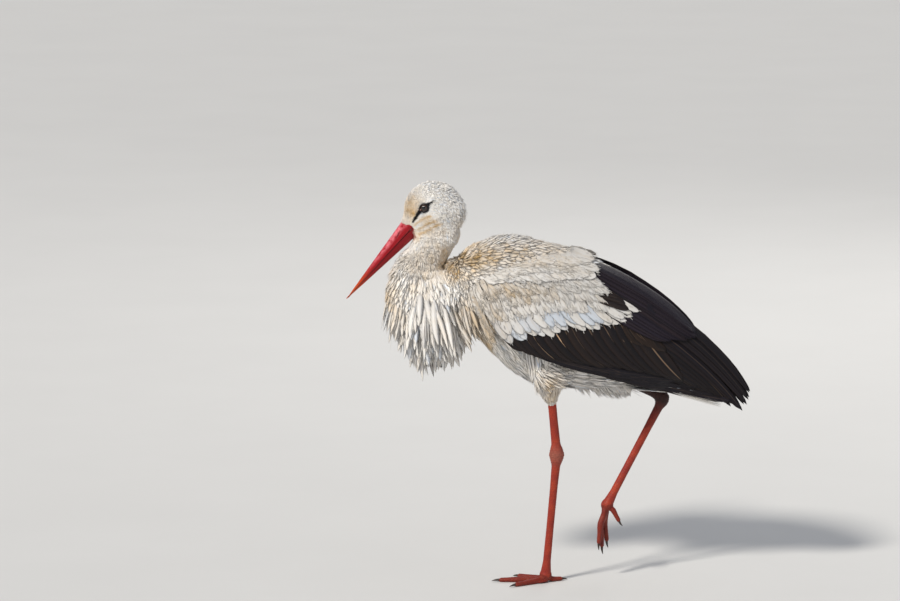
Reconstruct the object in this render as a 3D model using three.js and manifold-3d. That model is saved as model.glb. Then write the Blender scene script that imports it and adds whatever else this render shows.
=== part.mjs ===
// A white stork, life size, in mid step: the left foot carries it and the right foot swings forward.
// Millimetres, +Z up. The bird faces -X, its left side is -Y, and it stands on the floor, z = 0.
// The origin is on the floor, midway between the bill tip and the wing tips, under the body's midline.
import * as THREE from "three";
import { mergeVertices } from "three/addons/utils/BufferGeometryUtils.js";
import Module from "manifold-3d";

const wasm = await Module();
wasm.setup();

/* ---- driving dimensions ---------------------------------------------------------------- */

const GAP = 0.3; // clearance between neighbouring pieces
const SLIVER = 0.06; // facets are merged where the surface moves less than this
const LOCK_TIP = 0.9; // radius of a feather lock's tip
const HALF_LENGTH = 360; // origin to bill tip, and origin to wing tips

const HEAD = { at: [-206, 0, 674], half: [54, 31, 55] };
// The bill's base is the middle of its root on the face; the lower half ends `lowerShort` sooner.
const BILL = { base: [-249, 0, 641], length: 168, depth: 36, width: 25, rootLength: 16, lowerShort: 3 };
const BILL_STEPS = 7;
// The face narrows to the bill: [reach along the bill from its base, half depth, half width].
const FACE = [[-34, 37, 27], [-12, 25, 18.5], [1, 19.2, 14.1]];
const EYE = { at: [-221, 23.5, 683], radius: 8 };

// Neck and hanging throat plumes, in level slices: [x, z, half depth, half width].
const NECK_SLICES = [
  [-201, 667, 43, 27],
  [-201, 636, 43, 29],
  [-209, 613, 39, 29],
  [-222, 593, 40, 31],
  [-229, 576, 44, 34],
  [-227, 556, 58, 41],
  [-222, 534, 73, 48],
  [-219, 507, 77, 54],
  [-214, 477, 73, 54],
  [-208, 450, 62, 48],
  [-208, 428, 46, 36],
  [-211, 410, 27, 22],
];
const NECK_SPLIT_Z = 578; // upper neck above, lower neck below
const RUFF_TOP_Z = 532; // lower neck above, plumes below
// Plumes hang from the throat's lower end: x of the first and last tip, height of the root line,
// the longest drop, each plume's length and root radius, and how far the outer ones stand aside.
const PLUMES = {
  count: 13, front: -292, back: -142, lift: 455, drop: 82, length: 54, root: 9,
  aside: 24, uneven: 9, drawIn: 23, bow: -4,
};

// Trunk, in slices across X: [x, top z, bottom z, half width].
const TRUNK_SLICES = [
  [-194, 574, 524, 20],
  [-167, 592, 500, 42],
  [-140, 609, 466, 55],
  [-103, 627, 422, 64],
  [-64, 631, 386, 68],
  [-20, 622, 362, 69],
  [47, 604, 353, 65],
  [109, 570, 356, 54],
  [162, 520, 368, 38],
  [207, 456, 382, 18],
];

// Folded wing, in slices across X: [x, top z, top y, bottom z, bottom y, half thickness].
const WING_SLICES = [
  [-150, 541, 46, 521, 52, 4],
  [-133, 556, 52, 506, 67, 12],
  [-104, 571, 52, 478, 77, 18],
  [-68, 586, 49, 446, 83, 23],
  [-24, 598, 41, 421, 86, 26],
  [29, 599, 30, 409, 83, 26],
  [82, 591, 18, 400, 76, 25],
  [136, 569, 9, 391, 64, 23],
  [180, 538, 7, 382, 51, 20],
  [225, 498, 7, 373, 38, 17],
  [258, 463, 6, 362, 30, 14],
  [285, 432, 5, 352, 22, 10],
  [306, 402, 5, 345, 15, 6],
];
// Where the wing's four fields of feathers meet, and the three edges that part them, as directions in XZ.
const WING_HUB = [171, 500];
const COVERT_EDGE = [-263, -41]; // white coverts above, black secondaries below
const SHOULDER_EDGE = [-85, 96]; // white coverts in front, black tertials behind
const TERTIAL_EDGE = [134, -112]; // tertials above, secondaries below
const PRIMARY_CUT = { at: [237, 440], along: [30, 100] }; // primaries lie behind it
// Folded primaries, fanned from a line of roots to a line of tips in XZ; bow lifts their middles.
const PRIMARIES = {
  count: 5,
  roots: [[222, 466], [214, 388]],
  tips: [[HALF_LENGTH, 343], [345, 312]],
  bow: 10,
  width: 13,
  thickness: 2.6,
};

// Tail, in slices across X: [x, top z, bottom z, half width].
const TAIL_SLICES = [
  [128, 404, 360, 24],
  [165, 392, 358, 30],
  [200, 378, 349, 32],
  [240, 362, 340, 33],
  [275, 347, 331, 35],
  [300, 335, 324, 37],
  [312, 328, 322, 33],
];

// Legs. Each thigh is a feathered cone: [x, y, z, half depth, half width]. The right leg is +Y.
const THIGHS = {
  left: [
    [-14, -42, 462, 46, 32],
    [-4, -40, 404, 36, 28],
    [-1, -38, 368, 27, 22],
    [3, -35, 347, 16, 15],
    [5, -34, 330, 9, 9],
  ],
  right: [
    [16, 46, 428, 44, 32],
    [62, 47, 395, 34, 27],
    [101, 46, 374, 24, 21],
    [129, 46, 362, 15, 15],
    [148, 46, 353, 9, 9],
  ],
};
// Tufts on the thigh's lower end: how far each tip drifts back and hangs, and their root radius.
const THIGH_TUFTS = {
  left: { drift: 5, hang: 32, root: 6.5 },
  right: { drift: 17, hang: 35, root: 6.5 },
};
const LEGS = {
  left: { top: [5, -34, 346], hock: [15, -28, 238], ball: [-4, -6, 13] },
  right: { top: [134, 46, 360], hock: [208, 45, 328], ball: [107, 30, 134] },
};
// Sections of the leg: [distance from the joint named, half depth, half width].
const SHIN_ROWS = [[60, 7.5, 6.8], [16, 8.1, 7.5]]; // above the hock
const SHIN_TOP = [7.5, 6.8];
const HOCK_ABOVE = [[20, 8.1, 7.5], [9, 11.9, 10.5]];
const HOCK_MIDDLE = [14, 10.5];
const HOCK_BELOW = [[10, 11.2, 10], [20, 7.8, 7.2]];
const SHANK_BELOW_HOCK = [[16, 7.8, 7.2], [50, 7, 6.6]];
const SHANK_ABOVE_FOOT = [[92, 6.6, 5.9], [26, 7, 7], [6, 9.2, 9.2]];
const FOOT = { half: [12, 11.5, 13], web: [21, 19, 3], webAhead: 14, webHeight: 2.2 };
const HANGING_WEB = { half: [4, 12, 14.7], offset: [-5, 0, -13] };
// Toes: radii from root to tip, and how high a standing toe's middle line runs.
const TOE = {
  radii: [5.5, 5, 4.5, 3.9], height: 4, rise: [2, 0.3, 0, -0.6], start: 9, stations: [0.4, 0.75],
};
const CLAW = { radii: [2.9, 2.1, 0.6], arch: 0.8, droop: 2.2 };
// Standing toes: heading in degrees from straight ahead, towards the midline; length; claw.
const STANDING_TOES = {
  inner: { heading: 35, length: 60, claw: 11 },
  middle: { heading: 0, length: 84, claw: 13 },
  outer: { heading: -35, length: 68, claw: 12 },
  hind: { heading: 160, length: 32, claw: 10 },
};
// Hanging toes: offset of the toe's tip and of its bend from the ball of the foot, then claw.
const HANGING_TOES = {
  inner: { bend: [-12, -9, -34], tip: [-15, -11, -70], claw: 11 },
  middle: { bend: [-11, 0, -38], tip: [-9, -2, -78], claw: 13 },
  outer: { bend: [-4, 9, -34], tip: [0, 10, -70], claw: 12 },
  hind: { bend: [11, -3, -10], tip: [22, -5, -30], claw: 10 },
};

const COLOURS = {
  plumage: { color: 0xe6dcc8, roughness: 0.85 },
  flight: { color: 0x1c191b, roughness: 0.6 },
  horn: { color: 0xb3121a, roughness: 0.35 },
  skin: { color: 0xa83220, roughness: 0.6 },
  eye: { color: 0x120c0a, roughness: 0.08 },
  claw: { color: 0x5a463c, roughness: 0.5 },
};

/* ---- solids ---------------------------------------------------------------------------- */

const vec = (p) => new THREE.Vector3(...p);
const bird = new THREE.Group();
const finishes = {};
for (const [name, look] of Object.entries(COLOURS)) {
  finishes[name] = new THREE.MeshStandardMaterial({ ...look, metalness: 0 });
}

/** A three.js geometry as a manifold-3d solid, its faces turned out. */
function solidOf(geometry) {
  const bare = geometry.clone();
  bare.deleteAttribute("normal");
  bare.deleteAttribute("uv");
  const merged = mergeVertices(bare, 1e-3);
  const vertProperties = Float32Array.from(merged.attributes.position.array);
  const triVerts = Uint32Array.from(merged.index.array);
  const build = () => new wasm.Manifold(new wasm.Mesh({ numProp: 3, vertProperties, triVerts }));
  const made = build();
  if (made.volume() > 0) return made;
  for (let i = 0; i < triVerts.length; i += 3) {
    [triVerts[i + 1], triVerts[i + 2]] = [triVerts[i + 2], triVerts[i + 1]];
  }
  return build();
}

/** Adds a solid to the bird as a named mesh, without the crumbs and slivers that cutting leaves. */
function place(name, solid, finish) {
  const body = solid.decompose().sort((a, b) => b.volume() - a.volume())[0];
  const mesh = body.asOriginal().simplify(SLIVER).getMesh();
  const geometry = new THREE.BufferGeometry();
  geometry.setAttribute("position", new THREE.BufferAttribute(mesh.vertProperties, 3));
  geometry.setIndex(new THREE.BufferAttribute(mesh.triVerts, 1));
  geometry.computeVertexNormals();
  const made = new THREE.Mesh(geometry, finishes[finish]);
  made.name = name;
  bird.add(made);
}

/** A closed skin over sections { at, side, up }: a cylinder whose rings are moved to ellipses. */
function skinOver(sections, sides) {
  const last = sections.length - 1;
  const geometry = new THREE.CylinderGeometry(1, 1, 1, sides, last);
  const place = geometry.attributes.position;
  for (let i = 0; i < place.count; i++) {
    const { at, side, up } = sections[Math.round((0.5 - place.getY(i)) * last)];
    const point = at.clone();
    point.addScaledVector(side, place.getX(i)).addScaledVector(up, place.getZ(i));
    place.setXYZ(i, point.x, point.y, point.z);
  }
  return solidOf(geometry);
}

/** Sections in planes across X, from rows [x, top z, bottom z, half width], swollen by `grow`. */
const acrossX = (rows, grow = 0) =>
  rows.map(([x, top, bottom, half]) => ({
    at: vec([x, 0, (top + bottom) / 2]),
    side: vec([0, half + grow, 0]),
    up: vec([0, 0, (top - bottom) / 2 + grow]),
  }));

/** Level sections from rows [x, z, half depth, half width], swollen by `grow`. */
const levelSlices = (rows, grow = 0) =>
  rows.map(([x, z, depth, half]) => ({
    at: vec([x, 0, z]),
    side: vec([0, half + grow, 0]),
    up: vec([depth + grow, 0, 0]),
  }));

/** Sections square to a path, from rows [x, y, z, half depth, half width]; depth lies nearest XZ. */
function alongPath(rows, grow = 0) {
  const points = rows.map((row) => vec(row.slice(0, 3)));
  return rows.map(([, , , depth, width], i) => {
    const back = points[Math.max(i - 1, 0)];
    const ahead = points[Math.min(i + 1, rows.length - 1)];
    const along = ahead.clone().sub(back).normalize();
    const up = new THREE.Vector3(0, 1, 0).cross(along).normalize();
    const side = along.clone().cross(up);
    return {
      at: points[i],
      side: side.multiplyScalar(width + grow),
      up: up.multiplyScalar(depth + grow),
    };
  });
}

/** An ellipsoid with its centre and three half sizes. */
function ellipsoid(at, half, around = 16, down = 10, grow = 0) {
  const geometry = new THREE.SphereGeometry(1, around, down);
  geometry.rotateX(Math.PI / 2);
  geometry.scale(...half.map((h) => h + grow));
  geometry.translate(...at);
  return solidOf(geometry);
}

/** A tapering pointed lock from a root to a tip, bowed by `bow` along X. */
function lock(root, tip, radius, bow = 0) {
  const middle = root.map((v, i) => lerp(v, tip[i], 0.55) + (i === 0 ? bow : 0));
  const rows = [
    [...root, radius, radius],
    [...middle, radius * 0.75, radius * 0.7],
    [...tip, LOCK_TIP, LOCK_TIP],
  ];
  return skinOver(alongPath(rows), 4);
}

/** The half of space behind a plane: a large box whose face lies `gap` back from the plane. */
function behind(point, normal, gap = 0) {
  const reach = 8 * HALF_LENGTH;
  const geometry = new THREE.BoxGeometry(reach, reach, reach);
  geometry.translate(0, 0, -reach / 2 - gap);
  const direction = vec(normal).normalize();
  geometry.applyQuaternion(
    new THREE.Quaternion().setFromUnitVectors(new THREE.Vector3(0, 0, 1), direction),
  );
  geometry.translate(...point);
  return solidOf(geometry);
}

const join = (...solids) => solids.reduce((a, b) => a.add(b));
const cut = (solid, ...tools) => tools.reduce((a, b) => a.subtract(b), solid);
const lerp = THREE.MathUtils.lerp;
const aboveFloor = behind([0, 0, 0], [0, 0, -1]);
const SIDES = { left: -1, right: 1 };

/* ---- head, eyes and bill --------------------------------------------------------------- */

const billTip = vec([-HALF_LENGTH, 0, 0]);
billTip.z = BILL.base[2] - Math.sqrt(BILL.length ** 2 - (BILL.base[0] + HALF_LENGTH) ** 2);
const billAlong = billTip.clone().sub(vec(BILL.base)).normalize();
const billDown = billAlong.clone().cross(new THREE.Vector3(0, 1, 0)).normalize();

/** One half of the bill: `sign` 1 is the lower half, -1 the upper; both taper evenly to the tip. */
function mandible(sign, grow = 0) {
  const tip = BILL.length - (sign > 0 ? BILL.lowerShort : 0) + grow;
  const sections = Array.from({ length: BILL_STEPS + 1 }, (_, i) => {
    const reach = lerp(-BILL.rootLength - grow, tip, i / BILL_STEPS);
    const left = THREE.MathUtils.clamp(1 - reach / BILL.length, 0, 1);
    const halfDepth = Math.max(BILL.depth * 0.5 * left ** 0.95, 1) + grow;
    const halfWidth = Math.max(BILL.width * 0.5 * left ** 1.05, 0.9) + grow;
    return {
      at: vec(BILL.base).addScaledVector(billAlong, reach),
      side: vec([0, halfWidth, 0]),
      up: billDown.clone().multiplyScalar(halfDepth),
    };
  });
  const half = behind(BILL.base, billDown.clone().multiplyScalar(-sign).toArray(), GAP / 2 - grow);
  return skinOver(sections, 12).intersect(half);
}

const bill = join(mandible(-1, GAP), mandible(1, GAP));
place("bill_upper", mandible(-1), "horn");
place("bill_lower", mandible(1), "horn");

/** The skull with its feathers, narrowing to the bill's root. */
function headSolid(grow = 0) {
  const face = FACE.map(([reach, depth, width]) => {
    const at = vec(BILL.base).addScaledVector(billAlong, reach);
    return [...at, depth, width];
  });
  return ellipsoid(HEAD.at, HEAD.half, 18, 12, grow).add(skinOver(alongPath(face, grow), 12));
}

const eyeAt = (side) => [EYE.at[0], side * EYE.at[1], EYE.at[2]];
const eyeSockets = Object.values(SIDES).map((side) =>
  ellipsoid(eyeAt(side), Array(3).fill(EYE.radius), 10, 7, GAP),
);
place("head", cut(headSolid(), bill, ...eyeSockets), "plumage");
for (const [name, side] of Object.entries(SIDES)) {
  place(`eye_${name}`, ellipsoid(eyeAt(side), Array(3).fill(EYE.radius), 10, 7), "eye");
}

/* ---- neck and throat plumes ------------------------------------------------------------ */

/** Pointed plumes along the lower edge of the throat, longest under the middle. */
function plumes() {
  const { count, front, back, lift, drop, length, root, aside, uneven, drawIn, bow } = PLUMES;
  return Array.from({ length: count }, (_, k) => {
    const u = k / (count - 1);
    const hang = drop * Math.sin(Math.PI * Math.min(1, 0.13 + u * 0.72)) ** 1.4;
    const y = ((k % 3) - 1) * aside * Math.sin(Math.PI * (0.15 + u * 0.7));
    const tip = [lerp(front, back, u), y, lift - hang + (k % 2) * uneven];
    const base = [lerp(front + drawIn, back - drawIn, u), y, tip[2] + length];
    return lock(base, tip, root, bow);
  });
}

const headTool = headSolid(GAP);
const neckColumn = (grow) => skinOver(levelSlices(NECK_SLICES, grow), 18);
const neck = join(neckColumn(0), ...plumes());
const neckTool = neckColumn(GAP);
const belowZ = (z) => behind([0, 0, z], [0, 0, 1], GAP / 2);
const aboveZ = (z) => behind([0, 0, z], [0, 0, -1], GAP / 2);
const clearOfHead = neck.subtract(headTool).subtract(bill);
place("neck_upper", clearOfHead.intersect(aboveZ(NECK_SPLIT_Z)), "plumage");
const lowerNeck = clearOfHead.intersect(belowZ(NECK_SPLIT_Z)).intersect(aboveZ(RUFF_TOP_Z));
place("neck_lower", lowerNeck, "plumage");
place("throat_plumes", clearOfHead.intersect(belowZ(RUFF_TOP_Z)), "plumage");

/* ---- trunk, tail and thighs ------------------------------------------------------------ */

const trunkWhole = (grow) => skinOver(acrossX(TRUNK_SLICES, grow), 18);
const tailWhole = (grow) => skinOver(acrossX(TAIL_SLICES, grow), 12);
const trunkTool = trunkWhole(GAP);

/** A row of drooping tufts along the lower end of a thigh. */
function tufts(rows, { drift, hang, root }) {
  const [x, y, z, depth, width] = rows.at(-3);
  return [-1, 0, 1].flatMap((along) =>
    [-1, 1].map((side) => {
      const base = [x + along * depth * 0.55, y + side * width * 0.5, z - 4];
      const tip = [base[0] + drift + along * 3, base[1], z - hang - 5 * along * side];
      return lock(base, tip, root);
    }),
  );
}

const thighTools = Object.values(THIGHS).map((rows) => skinOver(alongPath(rows, GAP), 14));

/* ---- wings ----------------------------------------------------------------------------- */

/** Sections of a folded wing: each leans in at the top, from rows as in WING_SLICES. */
const wingSections = (rows, side, grow) =>
  rows.map(([x, topZ, topY, bottomZ, bottomY, thick]) => {
    const up = vec([0, (side * (topY - bottomY)) / 2, (topZ - bottomZ) / 2]);
    const across = vec([0, up.z, -up.y]).normalize().multiplyScalar(thick + grow);
    up.setLength(up.length() + grow);
    return { at: vec([x, (side * (topY + bottomY)) / 2, (topZ + bottomZ) / 2]), side: across, up };
  });

/** The folded primaries: blades fanned from their roots, each tip a step lower and further in. */
function primaries(side) {
  const { count, roots, tips, bow, width, thickness } = PRIMARIES;
  return Array.from({ length: count }, (_, k) => {
    const u = k / (count - 1);
    const between = ([a, b], y) => [lerp(a[0], b[0], u), y, lerp(a[1], b[1], u)];
    const base = between(roots, side * lerp(15, 25, u));
    const tip = between(tips, side * lerp(4, 9, u));
    const lift = (t) => bow * 2.8 * t * (1 - t);
    const at = (t) => base.map((v, i) => lerp(v, tip[i], t) + (i === 1 ? 0 : lift(t)));
    const rows = [
      [...at(0), width, thickness * 1.5],
      [...at(0.4), width, thickness * 1.4],
      [...at(0.72), width * 0.85, thickness],
      [...at(0.92), width * 0.5, thickness * 0.7],
      [...at(1), 1.4, 0.6],
    ];
    return skinOver(alongPath(rows), 4);
  });
}

/** Half of XZ space on one side of an edge from the hub; `left` is seen along +Y. */
function besideEdge([dx, dz], left) {
  const normal = left ? [dz, 0, -dx] : [-dz, 0, dx];
  return behind([WING_HUB[0], 0, WING_HUB[1]], normal, GAP / 2);
}

const halves = {};
const slabs = {};
for (const [name, side] of Object.entries(SIDES)) {
  halves[name] = behind([0, 0, 0], [0, -side, 0], GAP / 2);
  slabs[name] = (grow) => skinOver(wingSections(WING_SLICES, side, grow), 16);
}
const wingTools = Object.values(slabs).map((slab) => slab(GAP));
place("trunk", cut(trunkWhole(0), neckTool, ...wingTools), "plumage");
place("tail", cut(tailWhole(0), trunkTool, ...wingTools, ...thighTools), "plumage");

const cutPoint = [PRIMARY_CUT.at[0], 0, PRIMARY_CUT.at[1]];
const cutNormal = [PRIMARY_CUT.along[1], 0, -PRIMARY_CUT.along[0]];
const beforeCut = behind(cutPoint, cutNormal, GAP / 2);
const afterCut = behind(cutPoint, cutNormal.map((v) => -v), GAP / 2);

for (const [name, side] of Object.entries(SIDES)) {
  const slab = cut(slabs[name](0).intersect(halves[name]), neckTool);
  const fan = join(...primaries(side)).intersect(afterCut).intersect(halves[name]);
  const blades = cut(fan, tailWhole(GAP), trunkTool);
  const arm = slab.intersect(beforeCut);
  const coverts = arm.intersect(besideEdge(COVERT_EDGE, false)).intersect(besideEdge(SHOULDER_EDGE, true));
  const tertials = arm.intersect(besideEdge(SHOULDER_EDGE, false)).intersect(besideEdge(TERTIAL_EDGE, true));
  const secondaries = arm.intersect(besideEdge(TERTIAL_EDGE, false)).intersect(besideEdge(COVERT_EDGE, true));
  place(`wing_${name}_coverts`, coverts, "plumage");
  place(`wing_${name}_tertials`, tertials, "flight");
  place(`wing_${name}_secondaries`, secondaries, "flight");
  place(`wing_${name}_primaries`, slab.intersect(afterCut).add(blades), "flight");
}

/* ---- legs and feet --------------------------------------------------------------------- */

/** A point on the way from a to b, `reach` millimetres from a. */
function onWay(a, b, reach) {
  const step = vec(b).sub(vec(a)).normalize();
  return vec(a).addScaledVector(step, reach).toArray();
}

/** A toe, the room it needs, and its claw: bodies cut flat at the floor. */
function toe(path, clawWay, clawLength) {
  const rows = path.map((p, i) => [...p, TOE.radii[i], TOE.radii[i]]);
  const end = vec(path.at(-1));
  const stations = [[GAP, 0], [clawLength / 2, CLAW.arch], [clawLength, -CLAW.droop]];
  const clawRows = stations.map(([reach, lift], i) => {
    const at = end.clone().addScaledVector(clawWay, reach).add(vec([0, 0, lift]));
    return [...at, CLAW.radii[i], CLAW.radii[i]];
  });
  const shape = (grow) => skinOver(alongPath(rows, grow), 6);
  const claw = skinOver(alongPath(clawRows), 5);
  return { body: shape(0).intersect(aboveFloor), room: shape(GAP), claw: claw.intersect(aboveFloor) };
}

/** The toes of the standing foot, level on the floor. */
function standingToe({ heading, length, claw }, ball, side) {
  const turn = THREE.MathUtils.degToRad(heading);
  const way = vec([-Math.cos(turn), -side * Math.sin(turn), 0]);
  const reaches = [TOE.start, ...TOE.stations.map((share) => share * length), length];
  const path = reaches.map((reach, i) => {
    return [ball[0] + way.x * reach, ball[1] + way.y * reach, TOE.height + TOE.rise[i]];
  });
  return { path, way, claw };
}

/** The toes of the lifted foot, bunched and hanging. */
function hangingToe({ bend, tip, claw }, ball) {
  const from = (offset, share) => ball.map((v, i) => v + offset[i] * share);
  const way = vec(tip).sub(vec(bend)).normalize();
  const nearTip = bend.map((v, i) => lerp(v, tip[i], 0.55));
  return { path: [from(bend, 0.3), from(bend, 1), from(nearTip, 1), from(tip, 1)], way, claw };
}

/** The ball of the foot with the web between its toes. */
function footSolid(ball, standing, grow = 0) {
  const webAt = standing
    ? [ball[0] - FOOT.webAhead, ball[1], FOOT.webHeight]
    : ball.map((v, i) => v + HANGING_WEB.offset[i]);
  const web = ellipsoid(webAt, standing ? FOOT.web : HANGING_WEB.half, 8, 5, grow);
  return ellipsoid(ball, FOOT.half, 8, 6, grow).add(web);
}

for (const [name, side] of Object.entries(SIDES)) {
  const { top, hock, ball } = LEGS[name];
  const standing = name === "left";
  const from = (joint, towards) => ([reach, depth, width]) => {
    return [...onWay(joint, towards, reach), depth, width];
  };
  const shinRows = [[...top, ...SHIN_TOP], ...SHIN_ROWS.map(from(hock, top))];
  const hockRows = [
    ...HOCK_ABOVE.map(from(hock, top)),
    [...hock, ...HOCK_MIDDLE],
    ...HOCK_BELOW.map(from(hock, ball)),
  ];
  const shankRows = [...SHANK_BELOW_HOCK.map(from(hock, ball)), ...SHANK_ABOVE_FOOT.map(from(ball, hock))];
  const hockTool = skinOver(alongPath(hockRows, GAP), 10);
  const footTool = footSolid(ball, standing, GAP);

  const thigh = skinOver(alongPath(THIGHS[name]), 14);
  const thighWhole = join(thigh, ...tufts(THIGHS[name], THIGH_TUFTS[name]));
  const shinTool = skinOver(alongPath(shinRows, GAP), 8);
  place(`thigh_${name}`, cut(thighWhole, trunkTool, ...wingTools, shinTool), "plumage");
  place(`shin_${name}`, cut(skinOver(alongPath(shinRows), 8), hockTool), "skin");
  place(`hock_${name}`, skinOver(alongPath(hockRows), 10), "skin");
  place(`shank_${name}`, cut(skinOver(alongPath(shankRows), 8), hockTool, footTool), "skin");
  place(`foot_${name}`, footSolid(ball, standing).intersect(aboveFloor), "skin");

  const taken = [footTool];
  for (const [digit, size] of Object.entries(standing ? STANDING_TOES : HANGING_TOES)) {
    const { path, way, claw } = standing ? standingToe(size, ball, side) : hangingToe(size, ball);
    const made = toe(path, way, claw);
    place(`toe_${name}_${digit}`, cut(made.body, ...taken), "skin");
    place(`claw_${name}_${digit}`, cut(made.claw, made.room), "claw");
    taken.push(made.room);
  }
}

export default bird;
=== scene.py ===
"""A white stork in mid step: one skin, its coat of feathers, its folded wings, bill, eyes and claws.

Sizes below are in millimetres, in the frame's own axes: the bird faces -X and its left side is -Y.
Lengths reach the meshes in metres. Every piece is an array surface: a shape is a function of two
parameters on a grid, or a profile carried along a path, and feathers are leaves built the same way.
"""

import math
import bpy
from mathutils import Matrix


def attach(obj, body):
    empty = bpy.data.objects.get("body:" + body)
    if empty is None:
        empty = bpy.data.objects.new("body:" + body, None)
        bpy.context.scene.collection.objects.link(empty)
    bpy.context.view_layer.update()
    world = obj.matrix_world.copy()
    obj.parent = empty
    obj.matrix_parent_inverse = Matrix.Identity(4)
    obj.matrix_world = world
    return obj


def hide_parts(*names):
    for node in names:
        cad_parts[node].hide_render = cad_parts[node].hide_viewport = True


bl_info = {
    "name": "White stork",
    "version": (1, 0, 0),
    "blender": (4, 5, 0),
    "location": "View3D > Sidebar > Stork",
    "description": "Builds a feathered white stork around its solid frame",
    "category": "Object",
}

import bpy
import numpy as np
from mathutils import Vector

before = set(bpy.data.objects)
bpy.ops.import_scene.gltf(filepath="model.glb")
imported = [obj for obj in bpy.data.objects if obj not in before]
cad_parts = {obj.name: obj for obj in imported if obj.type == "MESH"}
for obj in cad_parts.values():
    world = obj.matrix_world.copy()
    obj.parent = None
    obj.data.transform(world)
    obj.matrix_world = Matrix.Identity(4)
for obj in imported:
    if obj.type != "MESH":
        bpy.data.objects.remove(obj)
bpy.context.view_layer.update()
MM = 0.001
SIDES = {"left": -1.0, "right": 1.0}

# ---- the coat's outline, which the skin follows at the coat's depth inside ---------------------

# Neck and throat, level slices: x, z, half depth, half width.
NECK = (
    (-201, 667, 43, 27), (-201, 636, 43, 29), (-209, 613, 39, 29), (-222, 593, 40, 31),
    (-229, 576, 44, 34), (-227, 556, 58, 41), (-222, 534, 71, 48), (-219, 507, 74, 53),
    (-214, 477, 68, 52), (-208, 452, 50, 42), (-207, 436, 30, 26),
)
# Trunk, slices across X: x, top z, bottom z, half width.
TRUNK = (
    (-188, 578, 520, 26), (-167, 592, 500, 42), (-140, 609, 466, 55), (-103, 627, 422, 64),
    (-64, 631, 386, 68), (-20, 622, 362, 69), (47, 604, 353, 65), (109, 570, 356, 54),
    (162, 520, 368, 38), (207, 456, 382, 18),
)
# Folded wing's arm, slices across X: x, top z, top y, bottom z, bottom y, half thickness.
WING = (
    (-146, 544, 46, 519, 53, 5), (-133, 556, 52, 506, 67, 12), (-104, 571, 52, 478, 77, 18),
    (-68, 586, 49, 446, 83, 23), (-24, 598, 41, 421, 86, 26), (29, 599, 30, 409, 83, 26),
    (82, 591, 18, 400, 76, 25), (136, 569, 9, 391, 64, 23), (180, 538, 7, 382, 51, 20),
    (225, 498, 7, 373, 38, 17), (258, 463, 6, 362, 30, 14),
)
TAIL = ((128, 404, 360, 24), (165, 392, 358, 28), (200, 376, 354, 26), (232, 364, 350, 16))
# Thighs down the leg: x, y, z, half depth, half width.
THIGHS = {
    "left": ((-14, -42, 462, 46, 32), (-4, -40, 404, 36, 28), (-1, -38, 368, 27, 22),
             (3, -35, 347, 15, 14), (5, -34, 334, 9, 9)),
    "right": ((16, 46, 428, 44, 32), (62, 47, 395, 34, 27), (101, 46, 374, 24, 21),
              (129, 46, 362, 15, 14), (146, 46, 354, 9, 9)),
}
HEAD_AT, HEAD_HALF = np.array((-206.0, 0, 674)), np.array((54.0, 31, 55))
FACE = ((-52, 43, 26), (-34, 37, 27), (-12, 25, 18.5), (1, 19.2, 14.1))
BILL_ROOT, BILL_TIP = np.array((-249.0, 0, 641)), np.array((-360.0, 0, 514.9))
EYE_AT, EYE_RADIUS = np.array((-221.0, 23.5, 683)), 8.0

# Legs: the middle line from thigh to hock to the ball of the foot.
LEG_LINES = {
    "left": ((4, -35, 352), (15, -28, 238), (-4, -6, 13)),
    "right": ((122, 46, 366), (208, 45, 328), (107, 30, 134)),
}
# Radii along the leg by distance from the hock, shin side below zero: distance, depth, width.
LEG_RADII = (
    (-120, 7.6, 6.9), (-60, 7.5, 6.8), (-20, 8.1, 7.5), (-9, 11.6, 10.3), (0, 13.8, 10.5),
    (10, 11.2, 10), (20, 7.8, 7.2), (60, 6.8, 6.3), (140, 6.6, 5.9), (200, 7, 7), (222, 9.4, 9.2),
)
TOES = {
    "left": {"inner": (35, 60, 11), "middle": (0, 84, 13), "outer": (-35, 68, 12), "hind": (160, 32, 10)},
    "right": {
        "inner": ((-12, -9, -34), (-15, -11, -70), 11), "middle": ((-11, 0, -38), (-9, -2, -78), 13),
        "outer": ((-4, 9, -34), (0, 10, -70), 12), "hind": ((11, -3, -10), (22, -5, -30), 10),
    },
}

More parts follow.
